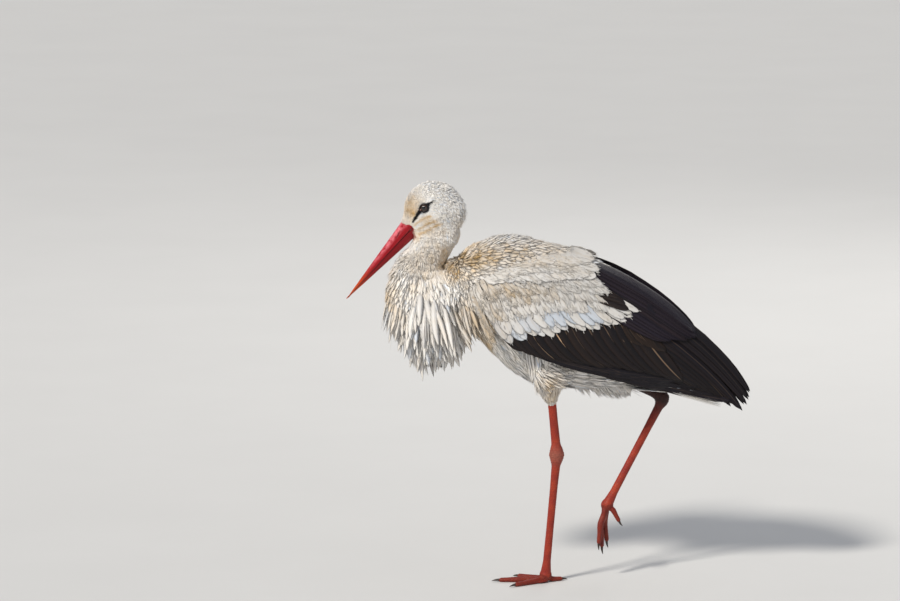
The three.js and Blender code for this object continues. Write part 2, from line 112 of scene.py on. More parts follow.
# How the coat lies: x, z, flow x, flow z, feather length, width, spacing, lift off the skin.
LIE = np.array((
    (-262, 655, 0.45, 0.9, 5, 1.2, 1.2, 0.1), (-250, 690, 0.5, 0.85, 6, 1.3, 1.4, 0.1),
    (-238, 712, 0.75, 0.65, 7, 1.4, 1.5, 0.12), (-210, 727, 1, 0, 9, 1.5, 1.6, 0.16),
    (-176, 714, 0.8, -0.6, 11, 1.7, 1.8, 0.26), (-155, 680, 0.25, -0.95, 14, 1.9, 1.9, 0.4),
    (-158, 645, -0.25, -1, 16, 2.0, 2, 0.2), (-246, 660, 0.75, 0.6, 5, 1.2, 1.2, 0.1),
    (-240, 672, 0.9, 0.4, 5, 1.2, 1.2, 0.1), (-226, 692, 1, 0.15, 5.5, 1.2, 1.25, 0.1),
    (-221, 674, 1, -0.2, 5.5, 1.2, 1.25, 0.1), (-200, 690, 1, -0.2, 8, 1.4, 1.45, 0.12),
    (-190, 670, 0.8, -0.6, 10, 1.6, 1.6, 0.14), (-228, 655, 0.95, 0.3, 6, 1.3, 1.3, 0.12),
    (-215, 650, 0.95, 0, 8, 1.4, 1.4, 0.14), (-236, 634, 0.8, -0.4, 7, 1.4, 1.4, 0.12),
    (-205, 640, 0.55, -0.85, 9, 1.7, 1.7, 0.12), (-190, 620, 0.15, -1, 14, 1.9, 1.9, 0.15),
    (-225, 612, 0, -1, 13, 1.9, 1.9, 0.2), (-250, 592, -0.2, -1, 16, 2, 2, 0.3),
    (-172, 596, 0.1, -1, 17, 2, 2, 0.38), (-212, 580, 0, -1, 22, 2.3, 2.2, 0.08),
    (-178, 574, 0.55, -0.8, 19, 2.4, 2.3, 0.1), (-272, 562, -0.25, -1, 32, 3.0, 2.8, 0.1),
    (-235, 548, -0.05, -1, 36, 3.4, 3, 0.05), (-190, 540, 0.25, -0.95, 38, 3.5, 3.1, 0.05),
    (-292, 515, -0.1, -1, 42, 3.4, 3.2, 0.1), (-240, 500, 0, -1, 46, 4.0, 3.4, 0.06),
    (-180, 500, 0.3, -0.95, 44, 4.0, 3.4, 0.06), (-280, 470, 0, -1, 42, 3.4, 3.4, 0.1),
    (-215, 455, 0.05, -1, 44, 3.6, 3.4, 0.1), (-165, 470, 0.3, -0.95, 36, 3.6, 3.4, 0.12),
    (-150, 605, 0.9, 0.35, 22, 3.4, 2.8, 0.12), (-163, 602, 0.55, -0.35, 20, 3.2, 1.7, 0.08), (-135, 585, 0.9, -0.2, 22, 3.6, 3, 0.1),
    (-110, 626, 0.97, 0.15, 24, 3.8, 3.1, 0.13), (-60, 631, 1, -0.02, 26, 4.2, 3.3, 0.13),
    (-10, 620, 0.98, -0.18, 28, 4.6, 3.5, 0.13), (50, 603, 0.94, -0.33, 32, 5.2, 3.8, 0.1),
    (-90, 595, 0.97, -0.25, 25, 4.4, 3.4, 0.1), (-140, 545, 0.6, -0.8, 24, 3.8, 3.2, 0.1),
    (-145, 490, 0.45, -0.9, 26, 3.6, 3.2, 0.12), (-110, 440, 0.7, -0.75, 30, 3.6, 3.3, 0.12),
    (-70, 395, 0.85, -0.55, 32, 3.8, 3.4, 0.12), (-20, 362, 0.97, -0.25, 34, 4, 3.5, 0.12),
    (50, 352, 1, -0.03, 38, 4.2, 3.7, 0.1), (110, 356, 1, 0.02, 40, 4.4, 3.8, 0.1),
    (165, 366, 1, -0.05, 44, 4.6, 3.8, 0.08), (215, 362, 1, -0.22, 48, 5, 3.8, 0.05),
))

# Markings: soft spots of tan or grey, as x, z, radius x, radius z, strength.
TAN_SPOTS = (
    (-246, 679, 20, 30, 0.55), (-236, 700, 20, 18, 0.15), (-212, 658, 24, 14, 0.25), (-205, 640, 34, 12, 0.2),
    (-238, 630, 18, 16, 0.3), (-200, 605, 34, 30, 0.22), (-235, 580, 30, 34, 0.16), (-185, 580, 44, 34, 0.24),
    (-162, 574, 46, 30, 0.3), (-130, 590, 44, 26, 0.32), (-280, 535, 26, 60, 0.25), (-225, 545, 34, 30, 0.15),
    (-148, 500, 24, 50, 0.3), (-100, 600, 70, 26, 0.25), (-30, 606, 90, 24, 0.2), (-118, 460, 28, 56, 0.5),
    (-60, 546, 100, 18, 0.35), (-100, 500, 34, 50, 0.25), (0, 366, 30, 46, 0.35), (-160, 640, 18, 40, 0.15),
    (-262, 480, 24, 36, 0.15), (40, 590, 50, 20, 0.1),
)
GREY_SPOTS = ((-252, 702, 14, 22, 0.35), (-250, 668, 8, 9, 0.3))
# Painted shade: lines on the cheek where its creases fall in shade; markings() darkens the coat along them with tan.
CREASE_SHADE_LINES = (
    ((-238, 651), (-226, 662), (-211, 669)), ((-229, 634), (-206, 649), (-191, 655)),
    ((-232, 643), (-214, 655), (-203, 660)),
)
STREAK = ((-204, 696.5, 0.8), (-212, 691, 2.4), (-229, 678, 4.2), (-234, 669, 2.8), (-241.5, 657, 1.7))


# ---- arithmetic on whole arrays ----------------------------------------------------------------


def unit(vectors):
    """Each vector over its own length."""
    return vectors / np.maximum(np.linalg.norm(vectors, axis=-1, keepdims=True), 1e-9)


def through(rows, count):
    """A smooth run of count rows through the named ones: on each span the cubic that meets both rows
    with the slopes of a central difference."""
    rows = np.asarray(rows, float)
    slope = np.gradient(rows, axis=0)
    at = np.linspace(0, len(rows) - 1, count)
    k = np.minimum(at.astype(int), len(rows) - 2)
    u = (at - k)[:, None]
    return (rows[k] * (2 * u**3 - 3 * u**2 + 1) + rows[k + 1] * (3 * u**2 - 2 * u**3)
            + slope[k] * (u**3 - 2 * u**2 + u) + slope[k + 1] * (u**3 - u**2))


def ring_faces(rows, across):
    """Faces of a closed tube of rows x across points, and of a pole at each end: quads (i, j),
    (i, j+1), (i+1, j+1), (i+1, j), fans at the poles, which are the last two points."""
    i, j = np.meshgrid(np.arange(rows - 1), np.arange(across), indexing="ij")
    n = (j + 1) % across
    quads = np.stack([i * across + j, i * across + n, (i + 1) * across + n, (i + 1) * across + j], -1)
    j, n = np.arange(across), (np.arange(across) + 1) % across
    first, last = np.full(across, rows * across), np.full(across, rows * across + 1)
    fans = np.concatenate([np.stack([first, n, j], -1),
                           np.stack([last, (rows - 1) * across + j, (rows - 1) * across + n], -1)])
    return quads.reshape(-1, 4), fans


def tube(centres, first, second, widths):
    """A closed tube: point = centre + width a x first axis x cos(angle) + width b x second axis x sin(angle),
    with rounded ends given by its own rows. The two axes turn the right-handed way round the path."""
    across = 40
    angle = np.linspace(0, 2 * np.pi, across, endpoint=False)
    rings = (centres[:, None] + first[:, None] * (widths[:, 0, None] * np.cos(angle))[..., None]
             + second[:, None] * (widths[:, 1, None] * np.sin(angle))[..., None])
    points = np.concatenate([rings.reshape(-1, 3), centres[:1], centres[-1:]])
    quads, fans = ring_faces(len(centres), across)
    return points, quads, fans


def join(parts):
    """Many (points, quads, fans) as one: the points in a row, the faces' numbers moved along."""
    points, quads, fans, start = [], [], [], 0
    for p, q, f in parts:
        points.append(p)
        quads.append(q + start)
        fans.append(f + start)
        start += len(p)
    return np.concatenate(points), np.concatenate(quads), np.concatenate(fans)


def wave(points, size, seed):
    """Smooth noise from -1 to 1: the mean of six sine waves of about one length in seeded directions."""
    rng = np.random.default_rng(seed)
    ways = unit(rng.normal(size=(6, 3))) * rng.uniform(0.7, 1.5, (6, 1)) * 2 * np.pi / size
    return np.sin(points @ ways.T + rng.uniform(0, 6.28, 6)).mean(1) * 1.6


def line_distance(x, z, line):
    """Distance to a broken line of (x, z, ...) corners, and the corners' other values at the nearest point."""
    line = np.asarray(line, float)
    a, b = line[:-1], line[1:]
    ab = (b - a)[:, :2]
    t = ((x[:, None] - a[:, 0]) * ab[:, 0] + (z[:, None] - a[:, 1]) * ab[:, 1]) / (ab**2).sum(1)
    t = np.clip(t, 0, 1)
    d = np.hypot(x[:, None] - a[:, 0] - t * ab[:, 0], z[:, None] - a[:, 1] - t * ab[:, 1])
    k = d.argmin(1)
    r = np.arange(len(x))
    rest = a[k, 2:] + (b - a)[k, 2:] * t[r, k, None]
    return d[r, k], rest


def spots(x, z, rows):
    """Sum of soft spots, each strength x (1 - (dx/rx)^2 - (dz/rz)^2) squared where above nought."""
    cx, cz, rx, rz, s = np.array(rows, float).T
    fall = 1 - ((x[:, None] - cx) / rx) ** 2 - ((z[:, None] - cz) / rz) ** 2
    return (np.clip(fall, 0, 1) ** 1.2 * s).sum(1)


def markings(points):
    """Tan, black and grey of the coat and skin at points in mm: soft spots broken by noise, the black
    streak through the eye within its own width, and painted shade along the creases of the cheek, laid in as more tan."""
    x, y, z = points.T
    side = np.abs(y)
    tan = spots(x, z, TAN_SPOTS) * (1.1 + 0.5 * wave(points, 26, 1)) + 0.02 * (1 + wave(points, 60, 2))
    tan = tan + 0.12 * np.clip(wave(points * (1, 1, 0.5), 12, 6), 0, 1) * (z < 640)
    grey = spots(x, z, GREY_SPOTS) * (1 + 0.6 * wave(points * (1, 1, 0.4), 7, 3))
    black = np.zeros(len(x))
    on_face = (side > 9) & (z > 625) & (x < -170)
    d, wide = line_distance(x, z, STREAK)
    edge = wide[:, 0] - d + 0.5 * wave(points, 4, 4)
    black = np.where(on_face, np.clip(edge / 1.2 + 0.5, 0, 1), 0)
    ring = EYE_RADIUS + 0.9 - np.hypot(x - EYE_AT[0], z - EYE_AT[2])
    black = np.maximum(black, np.where(on_face, np.clip(ring + 0.5, 0, 1), 0))
    # Painted shade along the cheek's creases, added to the tan.
    for crease in CREASE_SHADE_LINES:
        d, _ = line_distance(x, z, crease)
        tan = tan + np.where(on_face, 0.6 * np.exp(-((d / 2.2) ** 2)), 0)
    base = np.linalg.norm(points - BILL_ROOT, axis=1)
    tan = tan + 0.3 * np.clip(1 - (base - 16) / 9, 0, 1)
    return {"tan": np.clip(tan, 0, 1), "black": black, "grey": np.clip(grey, 0, 1)}


def bare_margin(points):
    """How far points lie ahead of the feathers' margin at the bill's base, in mm: nought on the margin."""
    reach = (points - BILL_ROOT) @ unit(BILL_TIP - BILL_ROOT)
    rise = (points - BILL_ROOT) @ np.array((-0.7507, 0, 0.6607))
    edge = np.interp(rise, (-17, -6, 2.3, 12.2, 18.4), (0, -5, -8.5, -1.5, 2))
    away = (np.linalg.norm(points - BILL_ROOT, axis=1) > 32) | (rise < -19)
    return np.where(away, -50.0, reach - edge)


def lie(points, normals):
    """Flow and feather sizes at points: the named places blended by the inverse fourth power of their
    distance in the XZ plane, and the flow laid in the surface by taking its part along the normal away."""
    d2 = (points[:, 0, None] - LIE[:, 0]) ** 2 + (points[:, 2, None] - LIE[:, 1]) ** 2
    weight = 1 / (d2 + 30) ** 2
    mixed = weight @ LIE[:, 2:] / weight.sum(1, keepdims=True)
    flow = np.stack([mixed[:, 0], np.zeros(len(points)), mixed[:, 1]], -1)
    flow = unit(flow - normals * (flow * normals).sum(1, keepdims=True))
    return flow, mixed[:, 2], mixed[:, 3], mixed[:, 4], mixed[:, 5]


# ---- meshes ------------------------------------------------------------------------------------


def put(name, points, faces, maps=None, values=None):
    """One smooth mesh object from arrays: points in mm, faces as arrays of three or four corners, maps
    as UV pairs for each point, values as one number for each point."""
    mesh = bpy.data.meshes.new(name)
    faces = [f for f in faces if len(f)]
    corners = np.concatenate([f.ravel() for f in faces]).astype(np.int32)
    sizes = np.concatenate([np.full(len(f), f.shape[1]) for f in faces])
    mesh.vertices.add(len(points))
    mesh.vertices.foreach_set("co", (points * MM).astype(np.float32).ravel())
    mesh.loops.add(len(corners))
    mesh.loops.foreach_set("vertex_index", corners)
    mesh.polygons.add(len(sizes))
    mesh.polygons.foreach_set("loop_start", (np.cumsum(sizes) - sizes).astype(np.int32))
    mesh.update(calc_edges=True)
    mesh.polygons.foreach_set("use_smooth", np.ones(len(sizes), bool))
    for key, pairs in (maps or {}).items():
        layer = mesh.uv_layers.new(name=key)
        layer.uv.foreach_set("vector", pairs[corners].astype(np.float32).ravel())
    for key, numbers in (values or {}).items():
        slot = mesh.attributes.new(key, "FLOAT", "POINT")
        slot.data.foreach_set("value", np.asarray(numbers, np.float32))
    made = bpy.data.objects.new(name, mesh)
    bpy.context.scene.collection.objects.link(made)
    return made


def dress(piece, material, slot, *nodes):
    """Gives a piece its material and its body, and hides the nodes that it stands for. The slot is not used."""
    piece.data.materials.clear()
    piece.data.materials.append(material)
    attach(piece, "root")
    if nodes:
        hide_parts(*nodes)
    return piece


def applied(piece, *modifiers):
    """The piece's mesh with modifiers (type, settings) worked in for good."""
    for kind, settings in modifiers:
        added = piece.modifiers.new(kind.title(), kind)
        for key, value in settings.items():
            setattr(added, key, value)
    seen = piece.evaluated_get(bpy.context.evaluated_depsgraph_get())
    mesh = bpy.data.meshes.new_from_object(seen)
    piece.modifiers.clear()
    old, piece.data = piece.data, mesh
    bpy.data.meshes.remove(old)
    return piece


def points_of(mesh):
    """A mesh's points in mm."""
    flat = np.empty(len(mesh.vertices) * 3, np.float32)
    mesh.vertices.foreach_get("co", flat)
    return flat.reshape(-1, 3).astype(float) / MM


def normals_of(mesh):
    """A mesh's smooth normals."""
    flat = np.empty(len(mesh.vertices) * 3, np.float32)
    mesh.vertex_normals.foreach_get("vector", flat)
    return flat.reshape(-1, 3).astype(float)


def triangles_of(mesh):
    """Corner numbers and loop numbers of a mesh's triangles."""
    mesh.calc_loop_triangles()
    n = len(mesh.loop_triangles)
    corners, loops = np.empty(n * 3, np.int32), np.empty(n * 3, np.int32)
    mesh.loop_triangles.foreach_get("vertices", corners)
    mesh.loop_triangles.foreach_get("loops", loops)
    return corners.reshape(-1, 3), loops.reshape(-1, 3)


# ---- feathers ----------------------------------------------------------------------------------


def leaves(roots, flow, up, length, width, shape, lift, tips=None, tall=0.32, curl=0.0, sway=0.0):
    """Solid leaves along their flow. The spine is the curve root, root + flow x length / 2 + up x lift,
    tip; the half width at t is width / 2 x the shape's factor; each ring is left edge, raised ridge,
    right edge, and both ends close in a point. The tip drops by curl x length towards the skin, and the
    middle swings aside by sway x length."""
    t, factor = np.array(shape, float).T
    side = unit(np.cross(up, flow))
    length, width, lift = (np.broadcast_to(v, len(roots)).astype(float) for v in (length, width, lift))
    end = roots + flow * length[:, None] + up * (length * lift * 1.2)[:, None]
    if tips is not None:
        end = tips
    end = end - up * (np.asarray(curl) * length)[:, None]
    middle = roots + (end - roots) * 0.5 + up * (length * lift * 0.6)[:, None] + side * (length * sway)[:, None]
    at = t[None, :, None]
    spine = roots[:, None] * (1 - at) ** 2 + middle[:, None] * 2 * at * (1 - at) + end[:, None] * at**2
    half = width[:, None] / 2 * factor
    inner = spine[:, 1:-1]
    reach = side[:, None] * half[:, 1:-1, None]
    ridge = up[:, None] * (half[:, 1:-1, None] * tall + 0.12)
    ring = np.stack([inner - reach, inner + ridge, inner + reach], 2)
    n, k = len(roots), len(t) - 2
    points = np.concatenate([spine[:, :1], ring.reshape(n, k * 3, 3), spine[:, -1:]], 1)
    j, m = np.arange(3), (np.arange(3) + 1) % 3
    i = np.arange(k - 1)[:, None]
    quads = np.stack([1 + i * 3 + j, 1 + (i + 1) * 3 + j, 1 + (i + 1) * 3 + m, 1 + i * 3 + m], -1).reshape(-1, 4)
    end = 1 + k * 3
    fans = np.concatenate([np.stack([j * 0, 1 + j, 1 + m], -1),
                           np.stack([1 + (k - 1) * 3 + j, j * 0 + end, 1 + (k - 1) * 3 + m], -1)])
    per = k * 3 + 2
    shift = (np.arange(n) * per)[:, None, None]
    across = np.concatenate([[0], np.tile([-1, 0, 1], k), [0]])
    along = np.concatenate([[0], np.repeat(t[1:-1], 3), [1]])
    vane = np.broadcast_to(np.stack([across * 0.5 + 0.5, along], -1), (n, per, 2))
    return points.reshape(-1, 3), (quads + shift).reshape(-1, 4), (fans + shift).reshape(-1, 3), vane, per


def patch(root_map, vane):
    """Each feather's own patch of the map, 0.003 across, round its root's place."""
    return (root_map[:, None] + (vane - 0.5) * 0.003).reshape(-1, 2)


SHORT = ((0, 0), (0.3, 1), (0.72, 0.8), (1, 0))
STRAND = ((0, 0), (0.2, 1), (0.55, 0.85), (0.85, 0.45), (1, 0))
LEAF = ((0, 0), (0.12, 0.55), (0.35, 0.95), (0.6, 1), (0.82, 0.7), (0.94, 0.35), (1, 0))
LANCE = ((0, 0), (0.1, 0.4), (0.3, 0.85), (0.52, 1), (0.72, 0.84), (0.87, 0.5), (0.96, 0.2), (1, 0))


class Roots:
    """Places on the finished skin: triangles' corners, normals and map, drawn by area."""

    def __init__(self, mesh):
        points, normals = points_of(mesh), normals_of(mesh)
        corners, loops = triangles_of(mesh)
        flat = np.empty(len(mesh.loops) * 2, np.float32)
        mesh.uv_layers["OFBake"].uv.foreach_get("vector", flat)
        self.tri, self.normal, self.map = points[corners], normals[corners], flat.reshape(-1, 2)[loops]
        cross = np.cross(self.tri[:, 1] - self.tri[:, 0], self.tri[:, 2] - self.tri[:, 0])
        self.area, self.middle = np.linalg.norm(cross, axis=1) / 2, self.tri.mean(1)

    def draw(self, seed, keep, spacing):
        """Roots where keep is true, thinned to the spacing: four draws to a place, then one kept in
        each cell of a grid of that size, twice over with the grid moved by half a cell."""
        rng = np.random.default_rng(seed)
        area = self.area * keep
        place = spacing(self.middle, self.normal.mean(1)) if callable(spacing) else np.full(len(area), spacing)
        share = area / place**2
        pick = rng.choice(len(share), int(share.sum() * 4), p=share / share.sum())
        a, b = rng.random((2, len(pick)))
        a, b = np.where(a + b > 1, 1 - a, a), np.where(a + b > 1, 1 - b, b)
        mix = np.stack([1 - a - b, a, b], 1)[:, :, None]
        p = (self.tri[pick] * mix).sum(1)
        n = unit((self.normal[pick] * mix).sum(1))
        m = (self.map[pick] * mix).sum(1)
        step = 1.12 ** np.round(np.log(place[pick] * 0.85) / np.log(1.12))
        for move in (0.0, 0.5):
            cell = np.floor(p / step[:, None] + move).astype(np.int64) + 5000
            key = ((cell[:, 0] * 20011 + cell[:, 1]) * 20011 + cell[:, 2]) * 101 + (step * 7).astype(np.int64) % 101
            _, first = np.unique(key, return_index=True)
            p, n, m, step = p[first], n[first], m[first], step[first]
        return p, n, m


def clumped(roots, tips, size, pull):
    """Tips drawn together: roots are grouped by the cells of a grid, warped by noise, and each tip moves
    by pull towards its group's mean tip."""
    bent = roots + np.stack([wave(roots, size * 5, s) for s in (11, 12, 13)], 1) * size * 0.8
    cell = np.floor(bent / size).astype(np.int64) + 5000
    _, group = np.unique((cell[:, 0] * 20011 + cell[:, 1]) * 20011 + cell[:, 2], return_inverse=True)
    group = group.ravel()
    count = np.bincount(group)[:, None]
    mean = np.stack([np.bincount(group, tips[:, k]) for k in range(3)], 1) / count
    return tips + (mean[group] - tips) * pull


def skin_roots():
    """The places on the skin that is already made."""
    return Roots(bpy.data.objects["skin"].data)


# ---- materials ---------------------------------------------------------------------------------


class Term:
    """A number in a material; sums, products and powers of terms add Math nodes."""

    def __init__(self, paint, socket):
        self.paint, self.socket = paint, socket

    def math(self, operation, other=0.0, flip=False):
        pair = (other, self) if flip else (self, other)
        node = self.paint.node("ShaderNodeMath", {"operation": operation}, {0: pair[0], 1: pair[1]})
        return Term(self.paint, node.outputs[0])

    def __add__(self, other):
        return self.math("ADD", other)

    def __sub__(self, other):
        return self.math("SUBTRACT", other)

    def __rsub__(self, other):
        return self.math("SUBTRACT", other, True)

    def __mul__(self, other):
        return self.math("MULTIPLY", other)

    def __truediv__(self, other):
        return self.math("DIVIDE", other)

    def __pow__(self, other):
        return self.math("POWER", other)

    __radd__, __rmul__ = __add__, __mul__

    def limited(self):
        """The term held between 0 and 1."""
        return Term(self.paint, self.paint.node("ShaderNodeClamp", {}, {"Value": self}).outputs[0])

    def step(self, low, high):
        """A smooth rise from 0 at low to 1 at high."""
        given = {"Value": self, "From Min": low, "From Max": high}
        node = self.paint.node("ShaderNodeMapRange", {"interpolation_type": "SMOOTHSTEP"}, given)
        return Term(self.paint, node.outputs[0])


class Paint:
    """A material and its nodes, joined to one Principled shader."""

    def __init__(self, name, **constants):
        self.material = bpy.data.materials.new(name)
        self.material.use_nodes = True
        self.tree = self.material.node_tree
        self.shader = self.tree.nodes["Principled BSDF"]
        for key, value in constants.items():
            self.shader.inputs[key.replace("_", " ")].default_value = value

    def node(self, kind, settings, inputs):
        """One node: its settings first, then the values or links of its sockets."""
        node = self.tree.nodes.new(kind)
        for key, value in settings.items():
            if key == "stops":
                ramp = node.color_ramp
                while len(ramp.elements) < len(value):
                    ramp.elements.new(0.5)
                for element, (place, colour) in zip(ramp.elements, value):
                    element.position, element.color = place, (*colour, 1)
            else:
                setattr(node, key, value)
        for key, value in inputs.items():
            if isinstance(value, Term):
                self.tree.links.new(value.socket, node.inputs[key])
            elif isinstance(value, bpy.types.NodeSocket):
                self.tree.links.new(value, node.inputs[key])
            else:
                node.inputs[key].default_value = value
        return node

    def number(self, name):
        """A mesh's own number at each point."""
        return Term(self, self.node("ShaderNodeAttribute", {"attribute_name": name}, {}).outputs["Fac"])

    def place(self):
        """Object coordinates, in metres."""
        return self.node("ShaderNodeTexCoord", {}, {}).outputs["Object"]

    def parts(self, vector):
        """The three numbers of a vector."""
        split = self.node("ShaderNodeSeparateXYZ", {}, {0: vector})
        return [Term(self, socket) for socket in split.outputs]

    def vane(self):
        """Across and along a feather, each from 0 to 1."""
        uv = self.node("ShaderNodeUVMap", {"uv_map": "Vane"}, {}).outputs[0]
        across, along, _ = self.parts(uv)
        return across, along

    def noise(self, scale, detail=3.0, vector=None, stretch=(1, 1, 1), rough=0.55):
        """Fractal noise from 0 to 1, stretched along the axes."""
        mapped = self.node("ShaderNodeMapping", {}, {"Vector": vector or self.place(), "Scale": stretch})
        node = self.node("ShaderNodeTexNoise", {}, {"Vector": mapped.outputs[0], "Scale": scale,
                                                    "Detail": detail, "Roughness": rough})
        return Term(self, node.outputs["Fac"])

    def mix(self, share, first, second, blend="MIX"):
        """Two colours mixed by a share."""
        colours = [(*c, 1) if isinstance(c, tuple) else c for c in (first, second)]
        node = self.node("ShaderNodeMix", {"data_type": "RGBA", "blend_type": blend},
                         {0: share, 6: colours[0], 7: colours[1]})
        return node.outputs[2]

    def grey(self, term):
        """A number as a grey colour."""
        node = self.node("ShaderNodeCombineColor", {}, {0: term, 1: term, 2: term})
        return node.outputs[0]

    def finish(self, colour, roughness=None, height=None, depth=0.001, strength=1.0):
        """Joins colour, roughness and a height in depth metres to the shader."""
        if isinstance(colour, tuple):
            self.shader.inputs["Base Color"].default_value = (*colour, 1)
        else:
            self.tree.links.new(colour, self.shader.inputs["Base Color"])
        if isinstance(roughness, Term):
            self.tree.links.new(roughness.socket, self.shader.inputs["Roughness"])
        if height is not None:
            bump = self.node("ShaderNodeBump", {}, {"Height": height, "Distance": depth, "Strength": strength})
            self.tree.links.new(bump.outputs[0], self.shader.inputs["Normal"])
        return self.material


def coat_colour(paint, tint):
    """White broken by cream, tan, grey and black in the amounts that the mesh carries, and a painted bluish reflection
    of the sky on feathers of high tone.
    """
    tone, tan, black, grey = (paint.number(n) for n in ("tone", "tan", "black", "grey"))
    blotch = paint.noise(90, 4)
    white = paint.mix((blotch * 1.6 - 0.4).limited(), tuple(tint.white), tuple(tint.cream))
    # Painted reflection: the bluish cast that sky light gives white feathers, laid on those of high random tone and not
    # on tan ones.
    sky_blue_share = ((tone - 0.78) * 4).limited() * (1 - (tan * 2.2).limited())
    white = paint.mix(sky_blue_share * 0.7, white, tuple(tint.shade))
    share = (tan * (0.6 + tone * 0.8) + (blotch - 0.5) * tan).limited()
    colour = paint.mix(share, white, tuple(tint.tan))
    colour = paint.mix((share - 0.75).limited() * 0.8, colour, tuple(tint.umber))
    colour = paint.mix((grey * (0.4 + tone * 0.9)).limited(), colour, (0.16, 0.15, 0.16))
    return colour, black, tone


def plumage(tint):
    """Soft coat feathers: barbs as fine oblique ridges, painted shade at the roots and along the edges of
    the outer part, each feather its own tone, and painted light that brightens or darkens the whole by the mesh's fine
    number.
    """
    paint = Paint("soft_coat", Roughness=0.75, Specular_IOR_Level=0.2)
    colour, black, tone = coat_colour(paint, tint)
    across, along = paint.vane()
    side = (across - 0.5).math("ABSOLUTE")
    shaft = (1 - side.step(0.02, 0.12)) * along.step(0.1, 0.4) * (paint.number("tan") + 0.12)
    colour = paint.mix((shaft * 0.6).limited(), colour, tuple(tint.tan))
    # Painted shade: darker towards each feather's root, where the feathers over it shade it.
    root = along.step(0.0, 0.6) * 0.2 + 0.8
    # Painted shade: darker along the side edges of each feather's outer part, as in the gaps between feathers.
    rim = 1 - (side - 0.3).limited() * along.step(0.3, 0.7) * 0.5
    # Painted light and shade: the fine number makes head and throat brighter and mantle and coverts darker.
    light = root * (0.92 + tone * 0.16) * rim * (1 + paint.number("fine") * 0.2)
    colour = paint.mix(1.0, colour, paint.grey(light), "MULTIPLY")
    colour = paint.mix(black, colour, tuple(tint.bare))
    barbs = (along * 70 + side * 26).math("SINE")
    return paint.finish(colour, None, barbs * 0.5 + 0.5, 0.00025, 0.5)


def flight(tint):
    """Dark quills: a pale shaft where the mesh says so, oblique barbs, brown wear at the edges, and a
    painted purple-blue sheen."""
    paint = Paint("flight", Specular_IOR_Level=0.2)
    tone, bloom, shaft, brown = (paint.number(n) for n in ("tone", "bloom", "shaft", "brown"))
    across, along = paint.vane()
    side = (across - 0.5).math("ABSOLUTE")
    streak = paint.noise(10, 5, paint.node("ShaderNodeUVMap", {"uv_map": "Vane"}, {}).outputs[0], (14, 1.2, 1))
    share = (brown * 0.8 + (streak - 0.5) * 0.7 + (side - 0.36) * 1.2 + (tone - 0.5) * 0.3).limited()
    colour = paint.mix(share, tuple(tint.flight), tuple(tint.brown))
    # Painted sheen: the quills' purple-blue gloss laid into the colour.
    colour = paint.mix((bloom * (streak + 0.2)).limited() * 0.8, colour, tuple(tint.bloom))
    line = (1 - side.step(0.018, 0.045)) * shaft * (1 - along.step(0.9, 1.0))
    colour = paint.mix(line.limited(), colour, tuple(tint.shaft))
    rough = 0.46 - bloom * 0.14 + (streak - 0.5) * 0.3
    barbs = (along * 190 + side * 120 + streak * 6).math("SINE")
    return paint.finish(colour, rough, barbs * 0.35 + streak, 0.0005, 0.6)


def leg_skin(tint):
    """Bare legs and face: red scales as cells with painted shade in the furrows, dusty pink joints, toes
    darkened with dirt, a painted shadow on the far shin, and the coat's own markings where the coat grows."""
    paint = Paint("skin", Specular_IOR_Level=0.3, Subsurface_Weight=0.0)
    colour, black, tone = coat_colour(paint, tint)
    leg, joint, scale, dusk = (paint.number(n) for n in ("leg", "joint", "scale", "dusk"))
    blotch, fine = paint.noise(55, 5), paint.noise(420, 3)
    red = paint.mix(((blotch - 0.35) * 2.2).limited(), tuple(tint.leg_deep), tuple(tint.leg))
    red = paint.mix(((fine - 0.6) * 3).limited() * 0.5, red, tuple(tint.leg_light))
    red = paint.mix((joint * (0.5 + blotch * 0.6)).limited(), red, tuple(tint.joint))
    # Dirt on the toes and a painted shadow on the far shin.
    red = paint.mix((dusk * (0.8 + blotch * 0.6)).limited(), red, tuple(tint.dusk))
    # Painted shade in the furrows between the scales.
    furrow_shade = (1 - scale).limited()
    red = paint.mix(furrow_shade * 0.5, red, (0.07, 0.016, 0.010))
    colour = paint.mix(leg, colour, red)
    colour = paint.mix(black, colour, tuple(tint.bare))
    colour = paint.mix(paint.number("rose"), colour, (0.34, 0.17, 0.14))
    rough = 0.5 + (fine - 0.5) * 0.3 - black * 0.12
    return paint.finish(colour, rough, scale * 0.7 + fine * 0.3, 0.0006, 0.8)


